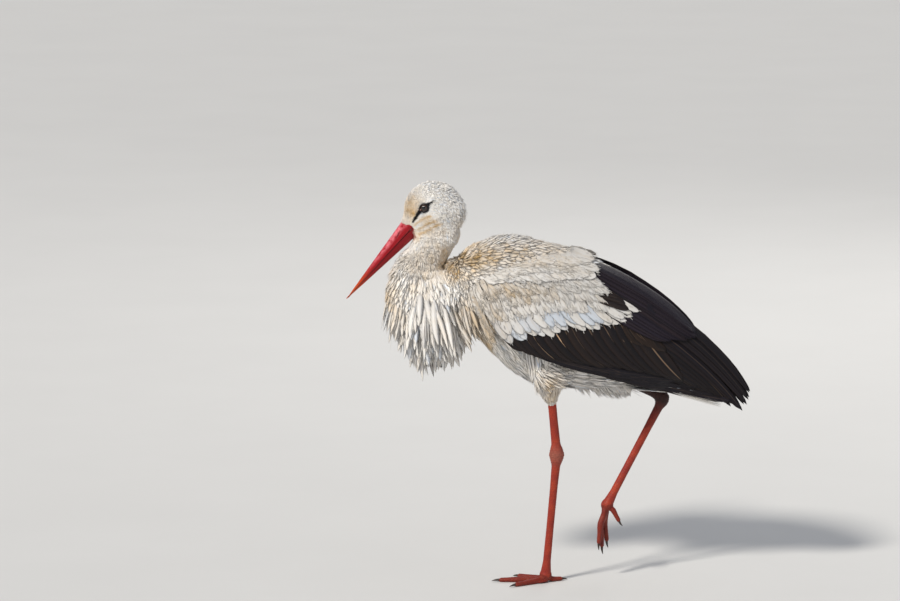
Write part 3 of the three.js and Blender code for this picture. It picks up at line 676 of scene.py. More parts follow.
def horn(tint):
    """The bill: crimson with long fine scratches and a painted highlight in pale pink patches along the
    upper mandible's side, orange at the tip, with painted shade on the lower mandible and low on the
    upper one, and painted shade along the tomium and in the nostril."""
    paint = Paint("horn", Specular_IOR_Level=0.16, Coat_Weight=0.3, Coat_Roughness=0.1)
    along, groove, lower, high = (paint.number(n) for n in ("along", "groove", "lower", "high"))
    uv = paint.node("ShaderNodeUVMap", {"uv_map": "Vane"}, {}).outputs[0]
    long = paint.noise(9, 6, uv, (9, 1.1, 1), 0.65)
    patch_ = paint.noise(5, 5, uv, (2.2, 3.4, 1), 0.7)
    flake = paint.noise(60, 4, uv, (1.2, 1, 1), 0.6)
    colour = paint.mix(((long - 0.38) * 2.4).limited(), tuple(tint.bill_deep), tuple(tint.bill))
    # Painted highlight: pale pink patches along the upper mandible's side, where the key light glances.
    painted_highlight = ((patch_ - 0.37) * 5).limited() * (1 - along.step(0.3, 0.75)) * (0.3 + flake) * high.step(0.3, 0.75)
    painted_highlight = painted_highlight * (1 - lower)
    colour = paint.mix(painted_highlight.limited(), colour, tuple(tint.bill_painted_highlight))
    tip = (along + (long - 0.5) * 0.16).step(0.5, 0.95)
    colour = paint.mix(tip * 0.95, colour, tuple(tint.bill_tip))
    fleck = ((flake - 0.6) * 9).limited() * along.step(0.15, 0.6) * 0.35
    colour = paint.mix(fleck, colour, (0.12, 0.01, 0.008))
    # Painted shade: darker on the lower mandible and towards the tomium on the upper one.
    colour = paint.mix((lower * 0.8 + 0.5 - high * 0.9).limited() * (1 - tip), colour, tuple(tint.bill_deep))
    # Painted shade in the gap along the tomium and in the nostril's slit.
    colour = paint.mix(groove.limited() * 0.85, colour, (0.035, 0.004, 0.006))
    rough = 0.3 + (long - 0.5) * 0.4 + painted_highlight * 0.08 + tip * 0.1
    return paint.finish(colour, rough, long * 0.6 + flake * 0.25, 0.0006, 0.5)


def claw_horn(tint):
    """Dark claws with growth lines, paler at the quick."""
    paint = Paint("claw", Specular_IOR_Level=0.5)
    lines = paint.noise(700, 3, None, (1, 1, 1))
    colour = paint.mix(((lines - 0.4) * 2).limited(), tuple(tint.claw), (0.09, 0.05, 0.035))
    return paint.finish(colour, 0.35 + lines * 0.25, lines, 0.0003, 0.5)


def wet_eye(tint):
    """The eye: black pupil, dark brown iris with radial fibres, darker rim, under a wet clear coat."""
    paint = Paint("eye", Roughness=0.2, Specular_IOR_Level=0.2, Coat_Weight=1.0, Coat_Roughness=0.09)
    polar = paint.number("polar")
    fibre = paint.noise(12, 4, paint.node("ShaderNodeUVMap", {"uv_map": "Vane"}, {}).outputs[0], (8, 1, 1))
    iris = paint.mix(fibre, tuple(tint.iris), (0.05, 0.026, 0.014))
    rim = polar.step(0.62, 0.74)
    colour = paint.mix(1 - polar.step(0.26, 0.3), iris, (0.002, 0.002, 0.002))
    colour = paint.mix(rim, colour, (0.008, 0.006, 0.006))
    return paint.finish(colour)


# ---- the skin ----------------------------------------------------------------------------------


def core_forms(depth):
    """Closed tubes of the body at the coat's depth inside its outline, from the named slices."""
    x_way, y_way, z_way = np.eye(3)
    parts = []

    def add(centres, first, second, widths, inset):
        axes = [np.broadcast_to(a, centres.shape) for a in (first, second)]
        parts.append(tube(centres, axes[0], axes[1], np.maximum(widths - np.reshape(inset, (-1, 1)), 2)))

    rows = through(NECK, 60)
    centres = np.stack([rows[:, 0], rows[:, 0] * 0, rows[:, 1]], 1)
    deep = np.interp(rows[:, 1], (440, 500, 560, 610, 670), (16, 13, 7, 3.5, 2.5)) * depth
    add(centres, x_way, -y_way, rows[:, 2:4], deep)
    rows = through(TRUNK, 60)
    centres = np.stack([rows[:, 0], rows[:, 0] * 0, (rows[:, 1] + rows[:, 2]) / 2], 1)
    deep = np.interp(rows[:, 0], (-190, -150, 200), (7, 5, 5)) * depth
    add(centres, y_way, z_way, np.stack([rows[:, 3], (rows[:, 1] - rows[:, 2]) / 2], 1), deep)
    rows = through(TAIL, 24)
    centres = np.stack([rows[:, 0], rows[:, 0] * 0, (rows[:, 1] + rows[:, 2]) / 2], 1)
    add(centres, y_way, z_way, np.stack([rows[:, 3], (rows[:, 1] - rows[:, 2]) / 2], 1), 3 * depth)
    for side, sign in SIDES.items():
        rows = through(WING, 50)
        top, low = rows[:, [2, 1]] * (sign, 1), rows[:, [4, 3]] * (sign, 1)
        centres = np.column_stack([rows[:, 0], (top + low) / 2])
        rise = unit(np.column_stack([rows[:, 0] * 0, top - low]))
        half = np.linalg.norm(top - low, axis=1) / 2
        deep = np.interp(rows[:, 0], (110, 190, 258), (8, 20, 24)) * depth
        add(centres, rise, np.cross(x_way, rise), np.stack([half, rows[:, 5]], 1), deep)
        rows = through(THIGHS[side], 36)
        way = unit(np.gradient(rows[:, :3], axis=0))
        first = unit(np.cross(y_way, way))
        add(rows[:, :3], first, np.cross(way, first), rows[:, 3:5], np.linspace(7, 1.5, 36) * depth)
    turn = np.linspace(0.06, np.pi - 0.06, 40)
    centres = HEAD_AT - x_way * (HEAD_HALF[0] - 2.5 * depth) * np.cos(turn)[:, None]
    ring = np.sin(turn)[:, None] * (HEAD_HALF[1:] - 2.5 * depth)
    add(centres, y_way, z_way, ring, 0)
    rows = through(FACE, 30)
    way = unit(BILL_TIP - BILL_ROOT)
    first = unit(np.cross(y_way, way))
    add(BILL_ROOT + way * rows[:, :1], first, np.cross(way, first), rows[:, 1:3],
        np.interp(rows[:, 0], (-34, 1), (2.5, 0.8)) * depth)
    return join(parts)


def leg_line(side):
    """Points, depth and width radii from the thigh to the ball of the foot: two straight runs, joined
    at the hock by a quadratic curve 10 mm each way."""
    top, hock, ball = (np.array(p, float) for p in LEG_LINES[side])
    up, down = unit(top - hock), unit(ball - hock)
    s = np.concatenate([np.linspace(-np.linalg.norm(top - hock), -10, 24)[:-1], np.linspace(-10, 10, 9),
                        np.linspace(10, np.linalg.norm(ball - hock), 60)[1:]])
    u = np.clip((s + 10) / 20, 0, 1)[:, None]
    curve = (hock + up * 10) * (1 - u) ** 2 + hock * 2 * u * (1 - u) + (hock + down * 10) * u**2
    s_ = s[:, None]
    points = np.where(s_ < -10, hock - up * s_, np.where(s_ > 10, hock + down * s_, curve))
    radii = np.array(LEG_RADII, float)
    longest = np.linalg.norm(ball - hock)
    radii[-2:, 0] = longest - 26, longest - 4
    wide = np.stack([np.interp(s, radii[:, 0], radii[:, k]) for k in (1, 2)], 1)
    return points, s, wide


def toe_line(side, name):
    """A toe's middle line and radii, then its claw's way: flat on the floor, or hanging, by the named
    bends; pads swell the radius at each joint."""
    ball = np.array(LEG_LINES[side][2], float)
    if side == "left":
        heading, length, claw = TOES[side][name]
        turn = math.radians(heading)
        way = np.array((-math.cos(turn), math.sin(turn), 0))
        foot = ball * (1, 1, 0)
        rows = [foot + way * reach + (0, 0, height) for reach, height in
                ((2, 9), (10, 6), (0.4 * length, 4.5), (0.75 * length, 4.1), (length, 3.6))]
    else:
        bend, tip, claw = TOES[side][name]
        rows = [ball, ball + np.array(bend) * 0.5, ball + bend, ball + (np.array(bend) + tip) / 2, ball + tip]
        way = unit(np.array(tip, float) - bend)
    radii = np.array((5.4, 5.5, 5.1, 4.6, 3.8)) * (0.9 if name == "hind" else 1)
    rows = through(np.column_stack([rows, radii]), 46)
    t = np.linspace(0, 1, 46)
    joints = 3 if name == "middle" else 2
    pads = 1 + 0.07 * np.cos(t * joints * 2 * np.pi) * np.sin(np.pi * t)
    ends = np.sqrt(np.clip(1 - np.clip((t - 0.95) / 0.055, 0, 1) ** 2, 0.05, 1))
    return rows[:, :3], rows[:, 3] * pads * ends, way, claw


def leg_forms(side):
    """One leg's closed tubes: shin to foot along the leg's line, the ball, web and toes."""
    points, _, wide = leg_line(side)
    y_way = np.array((0.0, 1, 0))
    parts = []

    def add(line, widths):
        way = unit(np.gradient(line, axis=0))
        first = unit(np.cross(y_way, way) + 1e-6)
        parts.append(tube(line, first, np.cross(way, first), widths))

    def ball(centre, half, way):
        turn = np.linspace(0.08, np.pi - 0.08, 20)
        way = unit(np.asarray(way, float))
        line = np.asarray(centre, float) - way * half[0] * np.cos(turn)[:, None]
        first = unit(np.cross((0.05, 1, 0.02), way))
        widths = np.sin(turn)[:, None] * half[1:]
        parts.append(tube(line, first + line * 0, np.cross(way, first) + line * 0, widths))

    add(points, wide)
    foot = points[-1]
    down = unit(points[-1] - points[-3])
    ball(foot, (12, 11, 10.5), down)
    hock = points[27]
    for sign in (-1, 1):
        ball(hock + (0, sign * 5.5, 1), (9.5, 8.5, 5.5), (0, 0, 1))
    if side == "left":
        ball(foot * (1, 1, 0) + (-14, 0, 3.4), (20, 3.4, 17), (-1, 0, 0))
    else:
        ball(foot + (-5, 0, -13), (14, 5, 11.5), (0, 0, -1))
    for name in TOES[side]:
        line, radius, _, _ = toe_line(side, name)
        add(line, np.stack([radius, radius * 1.05], 1))
    points, quads, fans = join(parts)
    if side == "left":
        points[:, 2] = np.maximum(points[:, 2], 0)
    return points, quads, fans


def scaled(points, normals, side):
    """Leg relief: with s along the nearest stretch of the leg or toe and the angle round it, scales are
    staggered cells, height 1 at their middles and 0 in the furrows, broad scutes in front. Points move
    out by it. Also returns the scales' height, the closeness to a joint, and the toes' dirt together with
    the painted shadow of the far shin."""
    lines, stretch, radii = [], [], []
    line, s, wide = leg_line(side)
    lines.append(line)
    stretch.append(s)
    radii.append(wide[:, 0])
    for k, name in enumerate(TOES[side]):
        line, radius, _, _ = toe_line(side, name)
        lines.append(line[4:])
        stretch.append(np.concatenate([[0], np.cumsum(np.linalg.norm(np.diff(line[4:], axis=0), axis=1))]) + 400 + 100 * k)
        radii.append(radius[4:])
    line, along, radius = np.concatenate(lines), np.concatenate(stretch), np.concatenate(radii)
    way = unit(np.concatenate([np.gradient(part, axis=0) for part in lines]))
    near = np.concatenate([((part[:, None] - line) ** 2).sum(-1).argmin(1) for part in np.array_split(points, 40)])
    off = points - line[near]
    s = along[near] + (off * way[near]).sum(1)
    front = unit(np.cross((0, 1.0, 0), way[near]))
    across = np.cross(way[near], front)
    angle = np.arctan2((off * across).sum(1), (off * front).sum(1))
    pitch = np.where(along[near] > 350, 3.4, 4.6)
    row = s / pitch + 0.22 * wave(points, 9, 21)
    count = np.where(along[near] > 350, 7, 9)
    col = (angle / (2 * np.pi) + 0.5) * count + 0.5 * (np.floor(row) % 2) + 0.25 * wave(points, 7, 22)
    u, v = col % 1 - 0.5, row % 1 - 0.5
    edge = np.minimum(0.5 - np.abs(u), (0.5 - np.abs(v)) * 1.1)
    height = np.clip(edge / 0.16, 0, 1) ** 0.7
    toe = along[near] > 350
    top = np.where(toe, 1.0, 0.85)
    height = 1 - (1 - height) * top
    joint = np.exp(-((s / 15) ** 2)) * ~toe
    fold = np.sin(s * 1.35 + 1.1 * np.sin(angle * 2)) * joint
    moved = points + normals * (0.34 * height - 0.18 + 0.3 * fold)[:, None]
    # Dirt on the toes, and a painted shadow of the body over the top of the far shin.
    dusk = np.where(toe, 0.35, 0) + (np.clip(1 - s / 60, 0, 1) if side == "right" else 0) * ~toe
    return moved, height, joint, dusk


def lids():
    """Bare lids and eye ring: closed rings round each eye, their line an almond
    (8 cos, 6.8 sin) stretched at its front corner, tilted forward and down, lying on the eyeball."""
    parts = []
    for side, sign in SIDES.items():
        eye = EYE_AT * (1, sign, 1)
        out = unit((eye - HEAD_AT) / HEAD_HALF**2 * (1, 1.0, 1))
        ahead = unit(np.array((-1.0, 0, 0)) - out * -out[0])
        rise = np.cross(out, ahead) * sign
        ahead, rise = (ahead * math.cos(0.55) - rise * math.sin(0.55), rise * math.cos(0.55) + ahead * math.sin(0.55))
        turn = np.linspace(0, 2 * np.pi, 97)[:-1]
        long = np.where(np.cos(turn) > 0, 1 + 0.16 * np.cos(turn) ** 5, 1 + 0.05 * np.cos(turn) ** 4)
        for a, b, h, wide, thick in ((7.3, 6.4, 4.6, 0.75, 0.8), (8.3, 7.5, 3.5, 1.1, 1.0), (7.8, 6.9, 4.15, 0.9, 0.7)):
            flat = (ahead * (np.cos(turn) * a * long)[:, None] + rise * (np.sin(turn) * b)[:, None])
            centre = eye + out * h + flat
            radial = unit(flat)
            angle = np.linspace(0, 2 * np.pi, 13)[:-1]
            ring = (centre[:, None] + radial[:, None] * (wide * np.cos(angle))[:, None]
                    + out * (thick * np.sin(angle))[:, None])
            i, j = np.meshgrid(np.arange(96), np.arange(12), indexing="ij")
            ni, nj = (i + 1) % 96, (j + 1) % 12
            quads = np.stack([i * 12 + j, i * 12 + nj, ni * 12 + nj, ni * 12 + j], -1).reshape(-1, 4)
            if sign > 0:
                quads = quads[:, ::-1]
            parts.append((ring.reshape(-1, 3), quads, np.zeros((0, 3), int)))
        turn = np.linspace(0.1, np.pi - 0.1, 12)
        corner = eye + out * 4.5 + ahead * 7.6
        line = corner - ahead * 1.9 * np.cos(turn)[:, None]
        parts.append(tube(line, out + line * 0, np.cross(ahead, out) + line * 0, np.sin(turn)[:, None] * (1.2, 1.5)))
    return join(parts)


def build_skin(tint, sizes):
    """The one skin: body forms and legs each remeshed to one smooth shell, the legs' scales pressed in,
    the lids added, and all joined with one unwrap and the coat's markings."""
    points, quads, fans = core_forms(sizes.coat_depth)
    body = put("skin_body", points, [quads, fans])
    applied(body, ("REMESH", {"mode": "VOXEL", "voxel_size": 0.0036}), ("SMOOTH", {"factor": 0.5, "iterations": 8}))
    shells = [(points_of(body.data), normals_of(body.data), triangles_of(body.data)[0], None)]
    bpy.data.objects.remove(body)
    for side in SIDES:
        points, quads, fans = leg_forms(side)
        leg = put("skin_leg", points, [quads, fans])
        applied(leg, ("REMESH", {"mode": "VOXEL", "voxel_size": 0.00125}), ("SMOOTH", {"factor": 0.5, "iterations": 4}))
        points, normals, tris = points_of(leg.data), normals_of(leg.data), triangles_of(leg.data)[0]
        shells.append((points, normals, tris, side))
        bpy.data.objects.remove(leg)
    all_points, all_tris, start = [], [], 0
    values = {key: [] for key in ("leg", "scale", "joint", "dusk", "rose", "tone", "tan", "black", "grey")}
    for points, normals, tris, side in shells:
        marks = markings(points)
        n = len(points)
        bare = np.clip((bare_margin(points) + 1.5) / 1.5, 0, 1)
        marks.update(leg=np.zeros(n), scale=np.ones(n), joint=np.zeros(n), dusk=np.zeros(n), rose=bare,
                     tone=0.5 + 0.3 * wave(points, 9, 5))
        if side:
            points, marks["scale"], marks["joint"], marks["dusk"] = scaled(points, normals, side)
            marks["leg"] = np.ones(n)
            if side == "left":
                points[:, 2] = np.maximum(points[:, 2], 0)
        all_points.append(points)
        all_tris.append(tris + start)
        start += n
        for key in values:
            values[key].append(marks[key])
    points, quads, fans = lids()
    n = len(points)
    rose = np.zeros(n)
    rose[96 * 12 * 3:96 * 12 * 3 + 482] = 1
    rose[-482:] = 1
    for key in values:
        values[key].append(np.full(n, {"black": 1.0, "scale": 1.0, "tone": 0.5}.get(key, 0.0)) if key != "rose" else rose)
    all_points.append(points)
    all_tris.append(np.concatenate([quads[:, :3], quads[:, [0, 2, 3]], fans]) + start)
    made = put("skin", np.concatenate(all_points), [np.concatenate(all_tris)], None,
               {key: np.concatenate(parts) for key, parts in values.items()})
    made.data.uv_layers.new(name="OFBake")
    bpy.context.view_layer.objects.active = made
    made.select_set(True)
    bpy.ops.object.mode_set(mode="EDIT")
    bpy.ops.mesh.select_all(action="SELECT")
    bpy.ops.uv.smart_project(angle_limit=1.15, island_margin=0.001)
    bpy.ops.object.mode_set(mode="OBJECT")
    made.select_set(False)
    nodes = ["head", "neck_upper", "neck_lower", "trunk", "throat_plumes"]
    for side in SIDES:
        nodes += [f"{part}_{side}" for part in ("thigh", "shin", "hock", "shank", "foot")]
        nodes += [f"toe_{side}_{toe}" for toe in TOES[side]]
    return dress(made, leg_skin(tint), "skin", *nodes)


# ---- the coat ----------------------------------------------------------------------------------


def spread(seed, roots, normals, flow, turn, tilt=0.0):
    """Flow turned about the normal by a random angle of that spread, and lifted by a random tilt."""
    rng = np.random.default_rng(seed)
    angle = rng.normal(0, turn, len(roots))[:, None]
    side = np.cross(normals, flow)
    return unit(flow * np.cos(angle) + side * np.sin(angle) + normals * rng.normal(0, tilt, len(roots))[:, None])


def feathered(seed, place, keep, factor, strands, leaf, clump=5.0, pull=0.35, turn=0.12, long=1.0, wide=1.0,
              strand_wide=0.35, lift_more=0.0, change=None):
    """A patch of coat: at each root one leaf and some thin strands of its barbs, sized by the lie of the
    coat there, with the strands' tips drawn into clumps."""
    rng = np.random.default_rng(seed + 1)
    roots, normals, spots_ = place.draw(seed, keep, lambda p, n: lie(p, n)[3] * factor)
    flow, length, width, _, lift = lie(roots, normals)
    if change is not None:
        roots, normals, spots_, flow, length, width, lift = change(roots, normals, spots_, flow, length, width, lift)
    size = rng.uniform(0.78, 1.18, len(roots)) * long
    tone = np.clip(0.5 + 0.28 * rng.normal(size=len(roots)) + 0.2 * wave(roots, 14, seed), 0, 1)
    sunk = roots - normals * np.clip(length * 0.03, 0.1, 0.8)[:, None]
    lift = np.clip(lift + lift_more, 0.01, 1)
    if leaf is not None:
        main = spread(seed, roots, normals, flow, turn * 0.7)
        made = [leaves(sunk, main, normals, length * size, width * wide * rng.uniform(0.7, 1.25, len(roots)), leaf,
                       lift * rng.uniform(0.7, 1.2, len(roots)), tall=0.1, sway=rng.normal(0, 0.05, len(roots)))]
        owners = [np.arange(len(roots))]
    else:
        made, owners = [], []
    if strands:
        owner = np.repeat(np.arange(len(roots)), strands)
        way = spread(seed + 3, roots[owner], normals[owner], flow[owner], turn * 2.0, 0.03)
        reach = (length * size)[owner] * rng.uniform(0.6, 1.05, len(owner))
        start = sunk[owner] + flow[owner] * (rng.uniform(0, 0.25, len(owner)) * reach)[:, None]
        start = start + np.cross(normals, flow)[owner] * (rng.uniform(-0.5, 0.5, len(owner)) * width[owner])[:, None]
        raise_ = lift[owner] * rng.uniform(0.8, 1.5, len(owner))
        tips = clumped(start, start + way * reach[:, None] + normals[owner] * (reach * raise_ * 1.2)[:, None], clump, pull)
        shape = SHORT if leaf is None and length.mean() < 18 else STRAND
        made.append(leaves(start, way, normals[owner], reach, np.maximum(width[owner] * strand_wide, 0.7), shape, raise_,
                           tips, 0.5))
        owners.append(owner)
    return roots + flow * (length * 0.55)[:, None], spots_, tone, made, owners


def lay_coat(name, material, found, *nodes, fine=0):
    """Joins a patch's leaves and strands in one coat mesh; fine is painted light and shade, each unit
    making the coat a fifth brighter: 1 on the small feathers of head and neck, below nought where the coat is painted
    darker.
    """
    roots, spots_, tone, made, owners = found
    marks = markings(roots)
    points, quads, fans = join([m[:3] for m in made])
    maps = {"OFBake": np.concatenate([patch(spots_[o], m[3]) for m, o in zip(made, owners)]),
            "Vane": np.concatenate([m[3].reshape(-1, 2) for m in made])}
    values = {key: np.concatenate([np.repeat(numbers[o], m[4]) for m, o in zip(made, owners)])
              for key, numbers in dict(marks, tone=tone, fine=np.full(len(tone), float(fine))).items()}
    return dress(put(name, points, [quads, fans], maps, values), material, "plumage", *nodes)


def around_eye(roots, normals, spots_, flow, length, width, lift):
    """Clears the bare ring and the bill's base, and turns the feathers before the eye to pass round it:
    the part of the flow that points at the eye is taken away, more the nearer they are."""
    away = (roots - EYE_AT * (1, 0, 1)) * (1, 0, 1)
    near = np.linalg.norm(away, axis=1)
    away = unit(away)
    inward = np.minimum((flow * away).sum(1), 0) * np.clip(1 - (near - 8) / 12, 0, 1)
    flow = unit(flow - away * (inward * 1.15)[:, None])
    length = length * np.interp(near, (9, 22), (0.6, 1))
    keep = (near > 8.3) & (bare_margin(roots) < 0)
    return tuple(a[keep] for a in (roots, normals, spots_, flow, length, width, lift))


def build_head(tint, sizes):
    """Face, crown, cheeks and nape: short fine feathers in two lengths."""
    place = skin_roots()
    m = place.middle
    paint = plumage_of(tint)
    keep = (m[:, 2] > 636) & (m[:, 0] < -140)
    # fine=1: painted light, the head's feathers made brighter.
    lay_coat("coat_head", paint, feathered(21, place, keep, 0.82 / sizes.density, 1, None, 6.0, 0.25, 0.1,
                                            strand_wide=0.85, lift_more=0.01, change=around_eye), fine=1)
    keep = (m[:, 2] <= 636) & (m[:, 2] > 574) & (m[:, 0] < -140)
    keep &= ~((m[:, 0] > -164) & (m[:, 2] < 592))
    found = feathered(31, place, keep, 0.56 / sizes.density, 1, None, 8.0, 0.35, 0.13, strand_wide=0.9,
                      lift_more=0.08, change=around_eye)
    # fine=1: painted light, the neck's feathers made brighter.
    return lay_coat("coat_neck", paint, found, fine=1)


def plume_tips(x):
    """How low the throat's plumes hang at x."""
    return np.interp(x, (-300, -290, -268, -241, -225, -200, -186, -166, -138), (490, 445, 425, 382, 375, 384, 388, 410, 445))


def build_throat(tint, sizes):
    """Throat and breast: soft leaves above, long pointed plumes hanging below."""
    place = skin_roots()
    m = place.middle
    paint = plumage_of(tint)
    front = (m[:, 2] <= 578) & (m[:, 0] < -142) & (m[:, 2] > 560 - (m[:, 0] + 170) * 0.2 - 300)
    ragged = 22 * wave(m * (1, 1, 0.3), 34, 8)
    upper = front & (m[:, 2] > 496 + ragged)
    # fine=0.7: painted light, the throat made brighter.
    lay_coat("coat_throat", paint, feathered(41, place, upper, 1.25 / sizes.density, 2, LANCE, 10.0, 0.25, 0.12,
                                              wide=3.4, strand_wide=0.3, lift_more=-0.03), fine=0.7)

    def hang(roots, normals, spots_, flow, length, width, lift):
        drop = roots[:, 2] - plume_tips(roots[:, 0])
        rng = np.random.default_rng(7)
        aft = np.interp(roots[:, 0], (-290, -240, -190, -150), (-0.04, 0.02, 0.24, 0.4))
        down = np.stack([aft, aft * 0, aft * 0 - 1], 1) + normals * (0.07, 0.22, 0) + flow * 0.3
        down = unit(down + rng.normal(0, 0.11, (len(drop), 3)))
        high = np.interp(roots[:, 2], (440, 540), (1.0, 0.7))
        length = np.clip(drop * rng.uniform(0.3, 0.95, len(drop)) ** 0.8 * high, 24, 96)
        return roots, normals, spots_, down, length, 8.5 + length * 0.055, lift * 0.4 + 0.025

    lower = front & (m[:, 2] <= 524 + ragged)
    found = feathered(51, place, lower, 1.5 / sizes.density, 3, LANCE, 13.0, 0.5, 0.09, strand_wide=0.16, change=hang)
    return lay_coat("coat_plumes", paint, found)


def build_body(tint, sizes):
    """Mantle and back, then breast, belly, flanks and the coverts under the tail."""
    place = skin_roots()
    m, n = place.middle, place.normal.mean(1)
    paint = plumage_of(tint)
    body = (m[:, 0] >= -175) & ~((m[:, 0] < -158) & (m[:, 2] > 604))
    mantle = body & (m[:, 2] > np.interp(m[:, 0], (-175, -140, 80), (545, 560, 566))) & (m[:, 0] < 64) & (m[:, 2] < 640)
    mantle &= ~((m[:, 0] < -166) & (m[:, 2] > 594))
    # fine=-0.4: painted shade, the mantle made darker.
    lay_coat("coat_mantle", paint, feathered(61, place, mantle, 1.2 / sizes.density, 2, LEAF, 9.0, 0.25, 0.17,
                                              wide=2.1, strand_wide=0.28, lift_more=0.0), fine=-0.4)
    leg = np.zeros(len(m), bool)
    low = (m[:, 0] >= -150) & (m[:, 2] > 343) & ~mantle
    arm = np.interp(m[:, 0], (-150, -104, -24, 82, 258), (500, 470, 412, 392, 352))
    low &= (m[:, 2] < arm) | (np.abs(m[:, 1]) < 40) & (m[:, 2] < 470) | (m[:, 0] < -110) & (m[:, 2] < 545)
    low &= ~((m[:, 0] > 100) & (m[:, 2] > 400)) & ~((m[:, 0] > 125) & (m[:, 2] > 374))
    side = np.abs(m[:, 1])
    low &= ~((m[:, 0] > 200) & ((side > 11) | (m[:, 2] > 370))) & ~((m[:, 0] > 135) & ((n[:, 2] > -0.3) | (side > 19)))
    thigh = (m[:, 1] < -8) & (np.abs(m[:, 0] - 2) < 30) & (m[:, 2] < 375)
    low &= ~thigh
    for name, part, seed in (("coat_breast", low & (m[:, 0] < -30), 71), ("coat_belly", low & (m[:, 0] >= -30), 73)):
        lay_coat(name, paint, feathered(seed, place, part, 1.3 / sizes.density, 2, LEAF, 9.0, 0.35, 0.11,
                                        wide=1.5, strand_wide=0.28))


def build_thighs(tint, sizes):
    """Shaggy thigh feathers, rooted on the thighs' own tubes and hanging down the leg."""
    paint = plumage_of(tint)
    skin = skin_roots()
    sample = skin.middle[::23], skin.map[::23].mean(1)
    for side, sign in SIDES.items():
        rng = np.random.default_rng(80 + int(sign))
        rows = through(THIGHS[side], 90)
        count = int(1500 * sizes.density)
        t = rng.random(count) ** 0.8 * 0.97
        angle = rng.uniform(0, 2 * np.pi, count)
        at = t * 89
        row = np.stack([np.interp(at, np.arange(90), rows[:, k]) for k in range(5)], 1)
        way = unit(np.gradient(rows[:, :3], axis=0))[at.astype(int)]
        first = unit(np.cross((0, 1.0, 0), way))
        second = np.cross(way, first)
        out = first * np.cos(angle)[:, None] + second * np.sin(angle)[:, None]
        slim = np.interp(t, (0, 0.25, 0.5, 0.75, 1), (0.85, 0.8, 0.7, 0.62, 0.7))
        roots = row[:, :3] + first * (np.cos(angle) * row[:, 3] * slim)[:, None] + second * (
            np.sin(angle) * row[:, 4] * slim)[:, None]
        fall = np.array((0.12, 0, -0.5)) if side == "left" else np.array((0.25, 0, -1.2))
        flow = unit(way + fall + out * np.interp(t, (0, 0.25, 0.45, 0.75, 1), (0.05, -0.12, -0.5, -0.5, -0.15))[:, None])
        reach = (38, 30, 15, 5) if side == "left" else (46, 44, 30, 8)
        length = np.interp(t, (0, 0.5, 0.75, 1), reach) * rng.uniform(0.75, 1.15, count)
        width = np.interp(t, (0, 1), (6.5, 2.4))
        tone = np.clip(0.5 + 0.28 * rng.normal(size=count), 0, 1)
        close = np.concatenate([((p[:, None] - sample[0]) ** 2).sum(-1).argmin(1) for p in np.array_split(roots, 20)])
        made = [leaves(roots, flow, out, length, width, LEAF, 0.08)]
        owner = np.repeat(np.arange(count), 3)
        start = roots[owner] + second[owner] * rng.uniform(-2, 2, (len(owner), 1))
        ways = spread(83, start, out[owner], flow[owner], 0.22, 0.05)
        reach = length[owner] * rng.uniform(0.6, 1.15, len(owner))
        tips = clumped(start, start + ways * reach[:, None] + out[owner] * 1.5, 11.0, 0.45)
        made.append(leaves(start, ways, out[owner], reach, 1.0, STRAND, 0.1, tips, 0.5))
        lay_coat(f"coat_thigh_{side}", paint, (roots, sample[1][close], tone, made, [np.arange(count), owner]))


# ---- wings and tail ----------------------------------------------------------------------------


class Relief:
    """How far out the wing's solid reaches at each place in the XZ plane: points strewn on the solids'
    triangles, the largest |y| kept in each 3 mm cell, a roof falling to the midline above the top edge, gaps filled from
    their neighbours, then blurred."""

    def __init__(self, sign, names):
        rng = np.random.default_rng(3)
        found = []
        for name in names:
            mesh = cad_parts[name].data
            points, tris = points_of(mesh), triangles_of(mesh)[0]
            a, b, c = (points[tris[:, k]] for k in range(3))
            area = np.linalg.norm(np.cross(b - a, c - a), axis=1)
            pick = rng.choice(len(tris), 60000, p=area / area.sum())
            u, v = rng.random((2, 60000, 1))
            u, v = np.where(u + v > 1, 1 - u, u), np.where(u + v > 1, 1 - v, v)
            found.append(a[pick] * (1 - u - v) + b[pick] * u + c[pick] * v)
        points = np.concatenate(found)
        self.low, self.step = np.array((-200.0, 300.0)), 3.0
        grid = np.full((200, 120), -1.0)
        i = np.clip(((points[:, [0, 2]] - self.low) / self.step).astype(int), 0, (199, 119))
        np.maximum.at(grid, (i[:, 0], i[:, 1]), points[:, 1] * sign)
        top = np.where((grid > 0).any(1), 119 - (grid > 0)[:, ::-1].argmax(1), 200)
        above = np.arange(120)[None] > top[:, None] + 0.5
        grid = np.where(above & (np.arange(120)[None] < top[:, None] + 8), 0.6, grid)
        for _ in range(14):
            wide = np.pad(grid, 1, mode="edge")
            around = np.stack([wide[a:a + 200, b:b + 120] for a in range(3) for b in range(3)])
            known = around > 0
            filled = (around * known).sum(0) / np.maximum(known.sum(0), 1)
            grid = np.where(grid > 0, grid, np.where(known.any(0), filled, -1))
        grid = np.where(grid > 0, grid, 5)
        for _ in range(8):
            wide = np.pad(grid, 1, mode="edge")
            grid = sum(wide[a:a + 200, b:b + 120] for a in range(3) for b in range(3)) / 9
        self.grid = grid

    def __call__(self, x, z):
        """The height at places in mm, mixed from the four nearest cells."""
        u = np.clip((x - self.low[0]) / self.step - 0.5, 0, 197.99)
        v = np.clip((z - self.low[1]) / self.step - 0.5, 0, 117.99)
        i, j = u.astype(int), v.astype(int)
        u, v = u - i, v - j
        g = self.grid
        return (g[i, j] * (1 - u) * (1 - v) + g[i + 1, j] * u * (1 - v) + g[i, j + 1] * (1 - u) * v
                + g[i + 1, j + 1] * u * v)


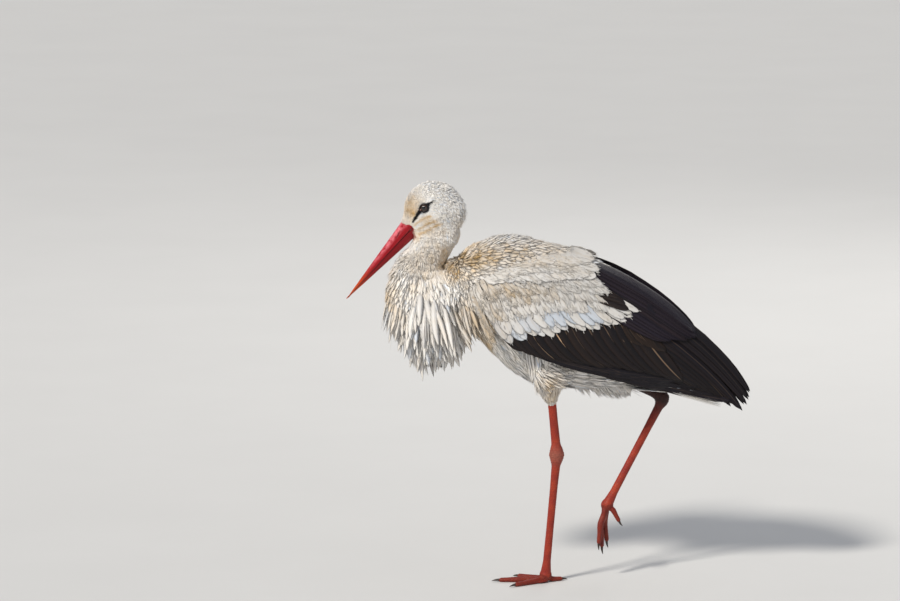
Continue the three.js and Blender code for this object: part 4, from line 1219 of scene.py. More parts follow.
QUILL = ((0.04, 0.45), (0.1, 0.7), (0.22, 0.95), (0.36, 1), (0.5, 1), (0.62, 0.97), (0.73, 0.92), (0.82, 0.82),
         (0.89, 0.68), (0.94, 0.52), (0.975, 0.34))
COVERT = ((0.05, 0.5), (0.2, 0.85), (0.42, 1), (0.62, 1), (0.78, 0.9), (0.9, 0.68), (0.97, 0.38))


def wing_vanes(relief, sign, root, tip, width, lift, tilt, bow, shape, across, seed, thick=0.45, ridge=0.5,
               cup=0.6, notch=0.05):
    """Vanes laid on a wing. In the XZ plane each is a spine root to tip, bowed sideways by bow x 4t(1-t),
    and spans s x half width either side, its edge uneven by notch; its height is the relief there plus
    lift, tilt x s so that each laps over the next, less cup x s^2, plus the shaft's ridge. The underside
    follows thick below."""
    rng = np.random.default_rng(seed)
    t, factor = np.array(shape).T
    s = np.linspace(-1, 1, across)
    n, k = len(root), len(t)
    width, bow, low, high = (np.broadcast_to(np.asarray(v, float), n) for v in (width, bow, lift[0], lift[1]))
    full = np.concatenate([[0], t, [1]])
    way = tip - root
    length = np.linalg.norm(way, axis=1)
    normal = np.stack([-way[:, 1], way[:, 0]], 1) / length[:, None]
    sweep = (4 * full * (1 - full))[None, :, None]
    spine = root[:, None] + way[:, None] * full[:, None] + normal[:, None] * (bow[:, None, None] * sweep)
    along = np.gradient(spine, axis=1)
    along = along / np.linalg.norm(along, axis=2, keepdims=True)
    side = np.stack([-along[..., 1], along[..., 0]], -1)
    half = width[:, None] / 2 * factor
    half = half[:, :, None] * (1 + notch * rng.normal(size=(n, k, across)) * (np.abs(s) > 0.99))
    flat = spine[:, 1:-1, None] + side[:, 1:-1, None] * (half * s)[..., None]
    flat = flat + along[:, 1:-1, None] * (np.abs(s) ** 2 * half * -0.35)[..., None]
    up = low[:, None] + (high - low)[:, None] * t
    base = relief(flat[..., 0], flat[..., 1])
    near = np.clip(base / 14, 0.12, 1)
    y = base + (up[..., None] + tilt * s) * near - cup * s**2 + ridge * np.exp(-((s / 0.12) ** 2)) * (1 - t[:, None] * 0.7)
    top = np.stack([flat[..., 0], -y, flat[..., 1]], -1)
    under = top[:, :, 1:-1][:, :, ::-1] + (0, thick, 0)
    ring = np.concatenate([top, under], 2)
    ends = [np.stack([spine[:, e, 0], -(relief(spine[:, e, 0], spine[:, e, 1]) + up[:, e]), spine[:, e, 1]], -1)[:, None]
            for e in (0, -1)]
    m = 2 * across - 2
    points = np.concatenate([ends[0], ring.reshape(n, k * m, 3), ends[1]], 1)
    j, w = np.arange(m), (np.arange(m) + 1) % m
    i = np.arange(k - 1)[:, None]
    quads = np.stack([1 + i * m + j, 1 + (i + 1) * m + j, 1 + (i + 1) * m + w, 1 + i * m + w], -1).reshape(-1, 4)
    end = 1 + k * m
    fans = np.concatenate([np.stack([j * 0, 1 + j, 1 + w], -1),
                           np.stack([1 + (k - 1) * m + j, j * 0 + end, 1 + (k - 1) * m + w], -1)])
    per = k * m + 2
    span = np.concatenate([s, s[1:-1][::-1]]) * 0.5 + 0.5
    vane = np.stack([np.concatenate([[0.5], np.tile(span, k), [0.5]]), np.concatenate([[0], np.repeat(t, m), [1]])], -1)
    vane = np.broadcast_to(vane, (n, per, 2))
    shift = (np.arange(n) * per)[:, None, None]
    points, quads, fans = points.reshape(-1, 3), (quads + shift).reshape(-1, 4), (fans + shift).reshape(-1, 3)
    if sign > 0:
        points, quads, fans = points * (1, -1, 1), quads[:, ::-1], fans[:, ::-1]
    return points, quads, fans, vane, per


def rank(first, second, count):
    """Count places evenly along a broken line from the first corners to the last, ends included."""
    line = np.array(first if second is None else (first, second), float)
    step = np.concatenate([[0], np.cumsum(np.linalg.norm(np.diff(line, axis=0), axis=1))])
    at = np.linspace(0, step[-1], count)
    return np.stack([np.interp(at, step, line[:, k]) for k in (0, 1)], 1)


def quill_map(made, first, whole):
    """Each quill's own strip of the map, side by side: across and along scaled into the strip."""
    vane = np.array(made[3])
    place = first + np.arange(len(vane))[:, None]
    return np.stack([(place + 0.08 + vane[..., 0] * 0.84) / whole, 0.02 + vane[..., 1] * 0.96], -1).reshape(-1, 2)


# Dark quills of a folded wing, each group as: roots' line, tips' line, count, widths, lift at root and
# tip, tilt, bow, painted sheen, shaft, brown. Groups lie one over the next in this order.
QUILLS = (
    (((172, 517), (150, 470), (112, 408)), ((360, 344), (355, 327), (345, 313), (316, 327), (284, 345), (262, 358)),
     13, (14, 17), (0.2, 0.8), -1.6, (17, 2), 0.2, 0.15, 0.3),
    (((-44, 440), (30, 420), (96, 408)), ((176, 386), (246, 370), (326, 334)), 6, (16, 20), (1.6, 2.0), -0.7, (-8, -8), 0.4, 0.1, 0.1),
    (((-84, 490), (40, 488), (150, 490)), ((-42, 434), (30, 419), (96, 409), (166, 398), (238, 374)), 17, (24, 32),
     (2.8, 3.0), -1.1, (-6, -6), 0.1, 1.0, 0.4),
    (((132, 482), (176, 470)), ((164, 446), (206, 430)), 9, (14, 15), (3.6, 3.4), -0.8, (-3, -3), 0.0, 0.15, 1.0),
    (((126, 508), (166, 498)), ((158, 464), (204, 450)), 9, (14, 16), (4.0, 3.8), -0.8, (-3, -3), 0.0, 0.1, 1.0),
    (((70, 586), (84, 556), (92, 520)), ((262, 462), (265, 448), (238, 445), (205, 446)), 12, (18, 28), (3.4, 3.8),
     -2.5, (11, 3), 1.0, 0.25, 0.5),
    (((174, 514), (176, 512)), ((209, 457), (207, 460)), 2, (20, 18), (5.2, 4.6), -0.5, (2, 2), 0.5, 0.0, 0.1),
    (((30, 572), (72, 544)), ((116, 540), (160, 506)), 7, (20, 22), (5.4, 5.0), -0.8, (3, 3), 0.3, 0.0, 0.45),
    (((62, 546), (80, 530)), ((121, 526), (142, 508)), 4, (12, 15), (7.2, 8.4), -0.8, (3, 3), 0.2, 0.0, 0.8),
)
# White coverts, each group as: roots' line, tips' line, count, width, lift at root and tip, tilt, bow, tone.
# A tone above about 0.78 brings the painted bluish sky reflection.
COVERTS = (
    (((-92, 512), (-30, 520), (40, 524), (106, 528)), ((-66, 450), (-24, 464), (44, 474), (108, 478), (152, 492)), 16, (24, 17),
     (4.6, 5.2), -1.0, -3, 0.6),
    (((-100, 522), (-30, 530), (40, 532), (112, 534)), ((-80, 462), (-32, 475), (36, 484), (108, 488), (160, 500)), 16, (24, 13),
     (5.8, 6.8), -1.1, -3, 0.95),
    (((-112, 534), (-30, 545), (40, 546), (84, 542)), ((-96, 488), (-30, 503), (44, 507), (104, 506)), 19, (18, 16), (6.4, 7.4),
     -1.0, -2, 0.6),
    (((-118, 544), (-30, 558), (40, 560), (80, 552)), ((-104, 508), (-24, 525), (48, 526), (100, 523)), 21, (13, 16), (7, 8.0),
     -0.9, -2, 0.45),
    (((-126, 553), (-30, 570), (30, 572), (76, 563)), ((-112, 524), (-22, 540), (44, 541), (109, 536)), 22, (11, 15), (7.6, 8.6),
     -0.9, -2, 0.4),
    (((-132, 560), (-40, 580), (30, 584), (62, 576)), ((-116, 538), (-26, 551), (40, 553), (100, 547)), 22, (9, 14), (8.0, 9.0),
     -0.8, -1, 0.35),
)
# Streaky feathers down the wing's bend, then scapulars over all, given the same way.
BEND = (
    (((-140, 548), (-124, 500)), ((-118, 500), (-92, 448)), 9, (9, 11), (3.5, 3.5), -0.6, -3, 0.5),
    (((-134, 556), (-108, 516)), ((-112, 512), (-76, 462)), 9, (9, 12), (5, 5), -0.6, -3, 0.6),
)
SCAPULARS = (
    (((-124, 574), (-40, 590), (40, 592)), ((-92, 561), (0, 562), (82, 566)), 18, (10, 19), (7.5, 11.0), -1.2, -3, 0.7),
    (((-130, 582), (-40, 600), (42, 600)), ((-94, 571), (-4, 574), (86, 577)), 18, (9, 18), (8.0, 9.6), -1.0, -2, 0.55),
    (((-124, 594), (-40, 608), (36, 606)), ((-88, 584), (0, 588), (84, 588)), 17, (9, 17), (8.0, 9.2), -1.0, -2, 0.5),
)


def build_flight(tint, sizes):
    """Black quills of both wings: primaries, secondaries, tertials and their dark coverts."""
    paint = flight(tint)
    for side, sign in SIDES.items():
        relief = reliefs(side)
        made, values, maps, first = [], {"bloom": [], "shaft": [], "brown": [], "tone": []}, [], 0
        rng = np.random.default_rng(100 + int(sign))
        whole = sum(group[2] for group in QUILLS)
        for k, (roots, tips, count, widths, lift, tilt, bow, bloom, shaft, brown) in enumerate(QUILLS):
            root, tip = rank(roots, None, count), rank(tips, None, count)
            root = root + rng.normal(0, 1.2, root.shape)
            tip = tip + rng.normal(0, 1.6, tip.shape)
            width = np.linspace(*widths, count) * rng.uniform(0.94, 1.06, count)
            bend = np.linspace(*bow, count) + rng.normal(0, 0.8, count)
            part = wing_vanes(relief, sign, root, tip, width, lift, tilt, bend, QUILL, 9,
                              int(200 + 10 * k + sign), notch=0.02)
            made.append(part)
            maps.append(quill_map(part, first, whole))
            first += count
            shown = rng.random(count) if k != 2 else np.where(np.isin(np.arange(count), (5, 6)), 1.0, 0.45 * rng.random(count))
            for key, base in (("bloom", bloom), ("shaft", shaft), ("brown", brown)):
                each = np.clip(base * rng.uniform(0.5, 1.4, count), 0, 1) if key != "shaft" else base * shown
                values[key].append(np.repeat(each, part[4]))
            values["tone"].append(np.repeat(rng.random(count), part[4]))
        points, quads, fans = join([m[:3] for m in made])
        maps = {"OFBake": np.concatenate(maps), "Vane": np.concatenate([m[3].reshape(-1, 2) for m in made])}
        values = {key: np.concatenate(v) for key, v in values.items()}
        nodes = [f"wing_{side}_{part}" for part in ("tertials", "secondaries", "primaries")]
        dress(put(f"flight_{side}", points, [quads, fans], maps, values), paint, "flight", *nodes)


def build_coverts(tint, sizes):
    """White coverts and scapulars of both wings, each a rounded vane with loose barbs at its edge."""
    paint = plumage_of(tint)
    skin = skin_roots()
    for side, sign in SIDES.items():
        relief = reliefs(side)
        near = skin.middle[:, 1] * sign > 8
        sample = skin.middle[near][::9], skin.map[near][::9].mean(1)
        rng = np.random.default_rng(300 + int(sign))
        made, tones, marks, maps = [], [], [], []
        for k, (roots, tips, count, width, lift, tilt, bow, tone) in enumerate(COVERTS + BEND + SCAPULARS):
            root, tip = rank(roots, None, count), rank(tips, None, count)
            root = root + rng.normal(0, 1.5, root.shape)
            tip = tip + rng.normal(0, 2.2, tip.shape)
            width = np.linspace(*width, count) * rng.uniform(0.88, 1.12, count)
            part = wing_vanes(relief, sign, root, tip, width, lift, tilt,
                              bow + rng.normal(0, 1, count), COVERT, 7, int(400 + 10 * k + sign), 0.4, 0.25, 0.5, 0.10)
            tone_ = np.clip(tone + 0.25 * rng.normal(size=count), 0, 1 if k < 2 else 0.8)
            tone_[-3:] = np.minimum(tone_[-3:], 0.6)
            heart = root * 0.35 + tip * 0.65
            place = np.stack([heart[:, 0], sign * relief(heart[:, 0], heart[:, 1]), heart[:, 1]], 1)
            close = ((place[:, None] - sample[0]) ** 2).sum(-1).argmin(1)
            mark = markings(place)
            made.append(part)
            tones.append(np.repeat(tone_, part[4]))
            marks.append({key: np.repeat(v, part[4]) for key, v in mark.items()})
            maps.append(patch(sample[1][close], part[3]))
            barbs = 16 if k > 1 else 5
            owner = np.repeat(np.arange(count), barbs)
            t, s = rng.uniform(0.6, 0.97, len(owner)), rng.uniform(-1, 1, len(owner))
            way = (tip - root)[owner]
            reach = np.linalg.norm(way, axis=1)
            way = way / reach[:, None]
            across = np.stack([-way[:, 1], way[:, 0]], 1)
            half = width[owner] / 2 * np.interp(t, [c[0] for c in COVERT], [c[1] for c in COVERT])
            flat = root[owner] + way * (t * reach)[:, None] + across * (s * half * 0.92 + bow * 4 * t * (1 - t))[:, None]
            up = relief(flat[:, 0], flat[:, 1])
            slope = np.stack([relief(flat[:, 0] + 3, flat[:, 1]) - up, relief(flat[:, 0], flat[:, 1] + 3) - up], 1) / 3
            out = unit(np.stack([-slope[:, 0], np.full(len(t), sign), -slope[:, 1]], 1))
            height = up + lift[0] + (lift[1] - lift[0]) * t + tilt * s - 0.5 * s**2 + 0.15
            start = np.stack([flat[:, 0], sign * height, flat[:, 1]], 1)
            flow = np.stack([way[:, 0] + across[:, 0] * s * 0.35, way[:, 0] * 0, way[:, 1] + across[:, 1] * s * 0.35], 1)
            flow = unit(flow - out * (flow * out).sum(1, keepdims=True))
            flow = spread(int(500 + k), start, out, flow, 0.09, 0.03)
            fine = leaves(start, flow, out, rng.uniform(5, 9, len(owner)), rng.uniform(0.9, 1.5, len(owner)), SHORT, 0.04)
            made.append(fine)
            tones.append(np.repeat(tone_[owner], fine[4]))
            marks.append({key: np.repeat(v[owner], fine[4]) for key, v in mark.items()})
            maps.append(patch(sample[1][close][owner], fine[3]))
        points, quads, fans = join([m[:3] for m in made])
        uv = {"OFBake": np.concatenate(maps), "Vane": np.concatenate([m[3].reshape(-1, 2) for m in made])}
        values = {key: np.concatenate([m[key] for m in marks]) for key in marks[0]}
        values["tone"] = np.concatenate(tones)
        # A fine number of -1.2: painted shade, the coverts made darker than the rest of the coat.
        values["fine"] = np.full(len(points), -1.2)
        dress(put(f"coverts_{side}", points, [quads, fans], uv, values), paint, "plumage", f"wing_{side}_coverts")


def build_tail(tint, sizes):
    """Twelve white tail feathers in a low fan, with soft coverts above them."""
    paint = plumage_of(tint)
    skin = skin_roots()
    rng = np.random.default_rng(9)
    broad = ((0, 0), (0.1, 0.6), (0.35, 0.9), (0.6, 1), (0.8, 0.98), (0.91, 0.8), (0.97, 0.5), (1, 0))
    u = np.linspace(-1, 1, 12)
    order = np.argsort(-np.abs(u))
    u = u[order]
    roots = np.stack([np.full(12, 176.0), u * 15, 363 - 3 * np.abs(u)], 1)
    tips = np.stack([316 - 9 * np.abs(u), u * 25, 329 - 4 * np.abs(u) + np.arange(12) * 0.35], 1)
    way = unit(tips - roots)
    up = unit(np.cross(way, np.stack([u * 0, np.ones(12), u * 0.35], 1)) * -1)
    made = [leaves(roots, way, up, np.linalg.norm(tips - roots, axis=1), 21.0, broad, 0.0, tips, 0.07)]
    tone = rng.uniform(0.3, 0.8, 12)
    owners = [np.arange(12)]
    count = 700
    v, t = rng.uniform(-1, 1, count), rng.random(count)
    below = rng.random(count) < 0.45
    start = np.stack([135 + t * np.where(below, 110, 60), v * np.interp(t, (0, 1), (22, 14)),
                      np.where(below, 358 - 8 * t, 388 - 22 * t)], 1)
    flow = unit(np.stack([np.ones(count), v * 0.15, np.where(below, -0.06, -0.28)], 1))
    out = unit(np.stack([v * 0, v * 0.6, np.where(below, -1.0, 1.0)], 1))
    out = unit(out - flow * (out * flow).sum(1, keepdims=True))
    made.append(leaves(start, flow, out, rng.uniform(26, 46, count), 4.6, LEAF, 0.05))
    owners.append(np.arange(count) + 12)
    tone = np.concatenate([tone, np.clip(0.5 + 0.25 * rng.normal(size=count), 0, 1)])
    places = np.concatenate([roots, start])
    sample = skin.middle[::23], skin.map[::23].mean(1)
    close = ((places[:, None] - sample[0]) ** 2).sum(-1).argmin(1)
    return lay_coat("coat_tail", paint, (places, sample[1][close], tone, made, owners), "tail")


# ---- bill, eyes, claws -------------------------------------------------------------------------


def build_bill(tint, sizes):
    """Two mandibles. Along each, half depth = 18 x (1 - reach / length) ^ 0.95 and half width = 12.5 x that
    ^ 1.05, rounded at the tip; the upper is the arc over the culmen, the lower the arc beneath, each
    closed by a flat along the tomium; the nostril is a slit pressed in by a long soft hollow."""
    way = unit(BILL_TIP - BILL_ROOT)
    rise, side = np.cross((0, 1.0, 0), way), np.array((0, 1.0, 0))
    length = float(np.linalg.norm(BILL_TIP - BILL_ROOT))
    shells, values, maps = [], {"along": [], "groove": [], "lower": [], "high": []}, []
    arc, inner, rows = 60, 12, 190
    q = np.concatenate([np.linspace(0, np.pi, arc), np.full(inner, -1.0)])
    flat = np.concatenate([np.zeros(arc), np.linspace(1, -1, inner + 2)[1:-1]])
    for lower in (False, True):
        total = length - (3.0 if lower else 0.0)
        reach = np.concatenate([np.linspace(-15, total - 12, rows - 40), total - 12 * (1 - np.linspace(0, 1, 41)[1:]) ** 1.6])
        reach[-1] = total - 0.02
        left = np.clip(1 - reach / total, 0, 1)
        blunt = np.sqrt(np.clip(1 - np.clip(1 - left * total / 2.2, 0, 1) ** 2, 0, 1))
        deep = np.maximum(18 * left**0.95, 1.1 * blunt)
        broad = np.maximum(12.5 * left**1.05, 1.0 * blunt) + np.interp(reach, (-15, -11, -8.5, 0), (-3, 1.4, 3.1, 0))
        split = -0.10 * deep
        sign = -1.0 if lower else 1.0
        tall = np.where(lower, (deep + split) * 0.97, deep - split)[:, None]
        wide = broad[:, None] * (0.93 if lower else 1.0)
        on = q >= 0
        y = np.where(on, -np.cos(np.maximum(q, 0)), 0)
        y = np.where(on, np.sign(y) * np.abs(y) ** 0.9, flat)[None] * wide * sign
        high = np.where(on, np.sin(np.maximum(q, 0)) ** 0.86, 0)[None] * tall
        gap = np.where(on, 0.12 + 0.1 * np.sin(np.maximum(q, 0)), 0.12)[None] * np.minimum(1, left * 30)[:, None]
        up = split[:, None] + sign * (high + gap)
        edge = np.exp(-((high / 0.9) ** 2)) * on * (left > 0.01)[:, None]
        slit = np.zeros_like(up)
        if not lower:
            mid = reach[:, None] - 19
            slit = np.exp(-((mid / 6.5) ** 4)) * np.exp(-(((high / tall - 0.55 + mid * 0.012) / 0.055) ** 2)) * on
            hollow = np.exp(-((mid - 8) / 22) ** 2) * np.exp(-(((high / tall - 0.5) / 0.2) ** 2)) * on
            y = y * (1 - 0.10 * slit - 0.05 * hollow)
        y = y * (1 + (0.16 if lower else 0.09) * np.clip(-reach / 8, 0, 1)[:, None] * np.exp(-(((up + (5 if lower else 0)) / 9) ** 2)))
        centre = BILL_ROOT + way * reach[:, None]
        points = centre[:, None] + side * y[..., None] + rise * up[..., None]
        points = points.reshape(-1, 3)
        ends = np.stack([centre[0] + rise * split[0], centre[-1] + way * 0.02 + rise * split[-1]])
        grain = wave(np.stack([y.ravel() * 2.2, np.repeat(reach, arc + inner) * 0.12, up.ravel() * 2.2], 1), 5, 17)
        out = unit(side * y.reshape(-1, 1) + rise * (up - split[:, None]).reshape(-1, 1))
        points = points + out * (0.10 * grain * np.repeat(np.minimum(1, left * 6), arc + inner))[:, None]
        quads, fans = ring_faces(len(reach), arc + inner)
        shells.append((np.concatenate([points, ends]), quads, fans))
        tail = [0, 1]
        values["along"].append(np.concatenate([np.repeat(reach / length, arc + inner), tail]))
        # Painted shade along the tomium and in the nostril's slit.
        values["groove"].append(np.concatenate([np.maximum(edge * 0.8, slit).ravel(), [0, 0]]))
        values["high"].append(np.concatenate([(high / tall).ravel(), tail]))
        values["lower"].append(np.full(len(points) + 2, float(lower)))
        round_ = np.linspace(0, 0.48, arc + inner) + (0.5 if lower else 0)
        uv = np.stack(np.broadcast_arrays(round_[None], (reach[:, None] + 15) / (length + 15)), -1).reshape(-1, 2)
        maps.append(np.concatenate([uv, [[0.25, 0], [0.25, 1]]]))
    points, quads, fans = join(shells)
    uv = np.concatenate(maps)
    piece = put("bill", points, [quads, fans], {"OFBake": uv, "Vane": uv},
                {key: np.concatenate(v) for key, v in values.items()})
    return dress(piece, horn(tint), "horn", "bill_upper", "bill_lower")


def build_eyes(tint, sizes):
    """Eyeballs: circles about the line of sight, radius R sin(angle) at R cos(angle), with a low cornea
    swelling of a bell curve in the angle."""
    paint = wet_eye(tint)
    for side, sign in SIDES.items():
        eye = EYE_AT * (1, sign, 1)
        out = unit((eye - HEAD_AT) / HEAD_HALF**2)
        first = unit(np.cross(out, (0.0, 0, 1)))
        angle = np.linspace(np.pi - 0.02, 0.02, 60)
        radius = EYE_RADIUS * (0.985 + 0.05 * np.exp(-((angle / 0.55) ** 2)))
        line = eye + out * (radius * np.cos(angle))[:, None]
        wide = (radius * np.sin(angle))[:, None] * (1, 1)
        points, quads, fans = tube(line, first + line * 0, np.cross(out, first) + line * 0, wide)
        polar = np.concatenate([np.repeat(angle, 40), [np.pi, 0]]) / (np.pi / 2)
        turn = np.concatenate([np.tile(np.linspace(0, 1, 40, endpoint=False), 60), [0, 0]])
        radial = np.minimum(polar / 4, 0.49)[:, None]
        disc = 0.5 + radial * np.stack([np.cos(turn * 2 * np.pi), np.sin(turn * 2 * np.pi)], 1)
        piece = put(f"eyeball_{side}", points, [quads, fans], {"OFBake": disc, "Vane": np.stack([turn, polar], 1)},
                    {"polar": polar})
        dress(piece, paint, "eye", f"eye_{side}")


def build_claws(tint, sizes):
    """Claws: cones on a bent line from inside the toe's end, radius falling to the point as
    2.9 x (1 - t) ^ 0.7."""
    parts = []
    for side in SIDES:
        for name in TOES[side]:
            line, radius, way, claw = toe_line(side, name)
            t = np.linspace(0, 1, 26)
            start = line[-1] - way * 3.0
            sag = np.array((0, 0, -1.0)) if side == "left" else unit(np.cross(way, (0, 1.0, 0)))
            bend = 0.5 * np.sin(np.pi * t) - 1.7 * t**2
            path = start + way * (t * (claw + 3))[:, None] + sag * (-bend)[:, None] * (1 if side == "left" else 0.7)
            wide = np.maximum(2.7 * (1 - t) ** 0.62, 0.25)[:, None] * (1, 0.82)
            way_ = unit(np.gradient(path, axis=0))
            first = unit(np.cross((0, 1.0, 0), way_) + 1e-6)
            points, quads, fans = tube(path, first, np.cross(way_, first), wide)
            if side == "left":
                points[:, 2] = np.maximum(points[:, 2], 0.02)
            parts.append((points, quads, fans))
    points, quads, fans = join(parts)
    nodes = [f"claw_{side}_{name}" for side in SIDES for name in TOES[side]]
    return dress(put("claws", points, [quads, fans]), claw_horn(tint), "claw", *nodes)


# ---- shared between operators ------------------------------------------------------------------


def plumage_of(tint):
    """The coat's material, made once."""
    return bpy.data.materials.get("soft_coat") or plumage(tint)


def reliefs(side):
    """The relief of one wing with the trunk and tail beneath it."""
    nodes = [f"wing_{side}_{part}" for part in ("coverts", "tertials", "secondaries", "primaries")]
    return Relief(SIDES[side], nodes)


def build_stage(tint, sizes):
    """A wide pale floor, soft studio lights from the bird's upper front, and the camera."""
    size = 30000.0
    points = np.array([(-size, -size, 0), (size, -size, 0), (size, size, 0), (-size, size, 0)])
    floor = put("floor", points, [np.array([[0, 1, 2, 3]])])
    paint = Paint("floor", Roughness=0.8)
    speck = paint.noise(3, 5)
    paint.finish(paint.mix(speck, tuple(tint.floor), tuple(c * 0.94 for c in tint.floor)))
    floor.data.materials.append(paint.material)
    scene = bpy.context.scene
    world = bpy.data.worlds.new("studio")
    world.use_nodes = True
    world.node_tree.nodes["Background"].inputs[0].default_value = (0.86, 0.90, 1.0, 1)
    world.node_tree.nodes["Background"].inputs[1].default_value = 0.37
    scene.world = world
    scene.view_settings.view_transform = "Standard"
    for name, place, power, wide, colour in (
        ("fill", (2.6, -3.0, 1.6), 14, 3.0, (0.9, 0.95, 1.0)),
        ("back", (1.2, 3.2, 2.6), 30, 2.0, (1.0, 0.98, 0.95)),
    ):
        light = bpy.data.lights.new(name, "AREA")
        light.energy, light.size, light.color, light.specular_factor = power, wide, colour, 0.15
        lamp = bpy.data.objects.new(name, light)
        lamp.location = place
        aim = Vector((-0.1, 0, 0.42)) - Vector(place)
        lamp.rotation_euler = aim.to_track_quat("-Z", "Y").to_euler()
        scene.collection.objects.link(lamp)
    sun = bpy.data.lights.new("key", "SUN")
    sun.energy, sun.angle, sun.color = 2.95, math.radians(9), (1.0, 0.95, 0.87)
    lamp = bpy.data.objects.new("key", sun)
    lamp.rotation_euler = Vector((2.3, 2.6, -3.1)).to_track_quat("-Z", "Y").to_euler()
    scene.collection.objects.link(lamp)
    lens = bpy.data.cameras.new("camera")
    lens.sensor_width, lens.lens = 36.0, 36.0 * sizes.distance / 1.602
    lens.clip_start, lens.clip_end = 0.1, 200
    camera = bpy.data.objects.new("camera", lens)
    tilt = math.radians(10)
    aim = Vector((-0.1757, 0, 0.5123))
    camera.location = aim + Vector((0, -math.cos(tilt), math.sin(tilt))) * sizes.distance
    camera.rotation_euler = (math.pi / 2 - tilt, 0, 0)
    scene.collection.objects.link(camera)
    scene.camera = camera


# ---- the add-on --------------------------------------------------------------------------------


def colour_property(name, words, default):
    """A colour that a user may change."""
    return bpy.props.FloatVectorProperty(name=name, description=words, default=default, subtype="COLOR",
                                         size=3, min=0.0, max=1.0)


class StorkSizes(bpy.types.PropertyGroup):
    """Sizes of the coat and the view."""

    coat_depth: bpy.props.FloatProperty(
        name="Coat depth", description="Share of the full depth that the skin lies inside the coat",
        default=1.0, min=0.2, max=2.0, subtype="FACTOR")
    density: bpy.props.FloatProperty(
        name="Density", description="How closely the feathers stand", default=1.0, min=0.2, max=2.0, subtype="FACTOR")
    distance: bpy.props.FloatProperty(
        name="Camera distance", description="From the camera to the bird", default=8.9, unit="LENGTH")


class StorkColours(bpy.types.PropertyGroup):
    """Colours of the coat and the bare parts."""

    white: colour_property("White", "Clean feathers", (0.88, 0.87, 0.86))
    cream: colour_property("Cream", "Feathers with a warm cast", (0.85, 0.81, 0.74))
    # Painted reflection: the bluish cast of sky light on white feathers.
    shade: colour_property("Cold white", "Thin feathers with a bluish cast", (0.56, 0.67, 0.82))
    # Tan also paints the shade along the cheek's creases.
    tan: colour_property("Tan", "Stained feathers", (0.60, 0.41, 0.19))
    umber: colour_property("Umber", "Deepest stains", (0.20, 0.115, 0.055))
    bare: colour_property("Bare face", "Black skin round the eye", (0.010, 0.010, 0.012))
    flight: colour_property("Flight", "Black quills", (0.0065, 0.0055, 0.0065))
    brown: colour_property("Worn brown", "Worn edges of the quills", (0.034, 0.020, 0.014))
    # Painted sheen of the quills.
    bloom: colour_property("Bloom", "Purple and blue gloss", (0.022, 0.017, 0.034))
    shaft: colour_property("Shaft", "Pale shafts of the secondaries", (0.55, 0.36, 0.22))
    leg: colour_property("Leg", "Red of the legs", (0.43, 0.050, 0.015))
    leg_deep: colour_property("Deep leg", "Darker red between", (0.26, 0.022, 0.014))
    leg_light: colour_property("Light leg", "Pale dust on the scales", (0.56, 0.17, 0.10))
    joint: colour_property("Joint", "Dusty pink of the hocks", (0.30, 0.095, 0.065))
    # Dirt on the toes, and the painted shadow on the far shin.
    dusk: colour_property("Dusk", "Brown of the toes and the far shin", (0.024, 0.008, 0.006))
    bill: colour_property("Bill", "Crimson of the bill", (0.60, 0.006, 0.022))
    # Deep bill also paints the shade of the lower mandible.
    bill_deep: colour_property("Deep bill", "Dark crimson", (0.21, 0.002, 0.005))
    # Painted highlight of the bill.
    bill_painted_highlight: colour_property("Worn bill", "Pink worn patches", (0.85, 0.22, 0.26))
    bill_tip: colour_property("Bill tip", "Orange of the tip", (0.58, 0.085, 0.014))
    claw: colour_property("Claw", "Dark horn", (0.022, 0.015, 0.012))
    iris: colour_property("Iris", "Dark brown iris", (0.020, 0.010, 0.006))
    floor: colour_property("Floor", "Pale studio floor", (0.68, 0.68, 0.67))


class STORK_OT_skin(bpy.types.Operator):
    """One skin for head, body, legs and feet."""

    bl_idname = "stork.skin"
    bl_label = "Skin"

    def execute(self, context):
        build_skin(context.scene.stork_colours, context.scene.stork_sizes)
        return {"FINISHED"}


class STORK_OT_bill(bpy.types.Operator):
    """The two mandibles."""

    bl_idname = "stork.bill"
    bl_label = "Bill"

    def execute(self, context):
        build_bill(context.scene.stork_colours, context.scene.stork_sizes)
        return {"FINISHED"}


class STORK_OT_eyes(bpy.types.Operator):
    """Both eyes."""

    bl_idname = "stork.eyes"
    bl_label = "Eyes"

    def execute(self, context):
        build_eyes(context.scene.stork_colours, context.scene.stork_sizes)
        return {"FINISHED"}


class STORK_OT_claws(bpy.types.Operator):
    """All eight claws."""

    bl_idname = "stork.claws"
    bl_label = "Claws"

    def execute(self, context):
        build_claws(context.scene.stork_colours, context.scene.stork_sizes)
        return {"FINISHED"}


class STORK_OT_head(bpy.types.Operator):
    """The fine coat of head and neck."""

    bl_idname = "stork.head"
    bl_label = "Head and neck"

    def execute(self, context):
        build_head(context.scene.stork_colours, context.scene.stork_sizes)
        return {"FINISHED"}


class STORK_OT_throat(bpy.types.Operator):
    """Throat feathers and hanging plumes."""

    bl_idname = "stork.throat"
    bl_label = "Throat"

    def execute(self, context):
        build_throat(context.scene.stork_colours, context.scene.stork_sizes)
        return {"FINISHED"}


class STORK_OT_body(bpy.types.Operator):
    """Mantle, breast and belly."""

    bl_idname = "stork.body"
    bl_label = "Body"

    def execute(self, context):
        build_body(context.scene.stork_colours, context.scene.stork_sizes)
        return {"FINISHED"}


class STORK_OT_thighs(bpy.types.Operator):
    """Shaggy thigh feathers."""

    bl_idname = "stork.thighs"
    bl_label = "Thighs"

    def execute(self, context):
        build_thighs(context.scene.stork_colours, context.scene.stork_sizes)
        return {"FINISHED"}


class STORK_OT_flight(bpy.types.Operator):
    """Black quills of both wings."""

    bl_idname = "stork.flight"
    bl_label = "Flight feathers"

    def execute(self, context):
        build_flight(context.scene.stork_colours, context.scene.stork_sizes)
        return {"FINISHED"}


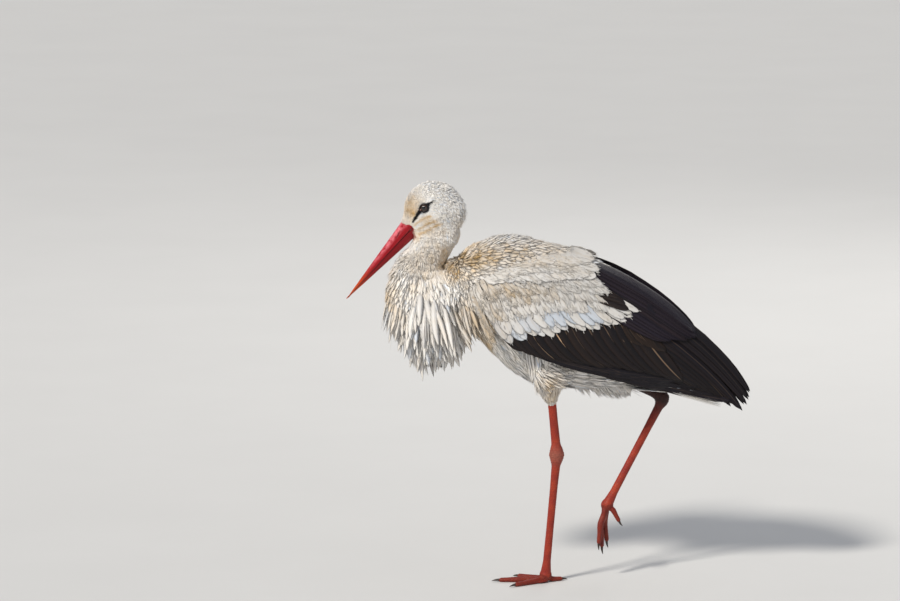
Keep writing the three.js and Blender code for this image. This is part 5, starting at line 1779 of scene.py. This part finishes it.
class STORK_OT_coverts(bpy.types.Operator):
    """White coverts and scapulars."""

    bl_idname = "stork.coverts"
    bl_label = "Wing coverts"

    def execute(self, context):
        build_coverts(context.scene.stork_colours, context.scene.stork_sizes)
        return {"FINISHED"}


class STORK_OT_tail(bpy.types.Operator):
    """Tail feathers and coverts."""

    bl_idname = "stork.tail"
    bl_label = "Tail"

    def execute(self, context):
        build_tail(context.scene.stork_colours, context.scene.stork_sizes)
        return {"FINISHED"}


class STORK_OT_stage(bpy.types.Operator):
    """Floor, lights and camera."""

    bl_idname = "stork.stage"
    bl_label = "Stage"

    def execute(self, context):
        build_stage(context.scene.stork_colours, context.scene.stork_sizes)
        return {"FINISHED"}


OPERATORS = [
    STORK_OT_skin,
    STORK_OT_bill,
    STORK_OT_eyes,
    STORK_OT_claws,
    STORK_OT_head,
    STORK_OT_throat,
    STORK_OT_body,
    STORK_OT_thighs,
    STORK_OT_flight,
    STORK_OT_coverts,
    STORK_OT_tail,
    STORK_OT_stage,
]


class STORK_PT_panel(bpy.types.Panel):
    """The stork's operators and sizes in the sidebar."""

    bl_label = "Stork"
    bl_space_type = "VIEW_3D"
    bl_region_type = "UI"
    bl_category = "Stork"

    def draw(self, context):
        for group in (context.scene.stork_sizes, context.scene.stork_colours):
            for key in group.__annotations__:
                self.layout.prop(group, key)
        for kind in OPERATORS:
            self.layout.operator(kind.bl_idname)


CLASSES = [StorkSizes, StorkColours, *OPERATORS, STORK_PT_panel]


def register():
    for kind in CLASSES:
        bpy.utils.register_class(kind)
    bpy.types.Scene.stork_sizes = bpy.props.PointerProperty(type=StorkSizes)
    bpy.types.Scene.stork_colours = bpy.props.PointerProperty(type=StorkColours)


def unregister():
    del bpy.types.Scene.stork_colours
    del bpy.types.Scene.stork_sizes
    for kind in reversed(CLASSES):
        bpy.utils.unregister_class(kind)


def main():
    """Builds the stork."""
    register()
    for kind in OPERATORS:
        getattr(bpy.ops.stork, kind.bl_idname.split(".")[1])()
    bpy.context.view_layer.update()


if __name__ == "__main__":
    main()
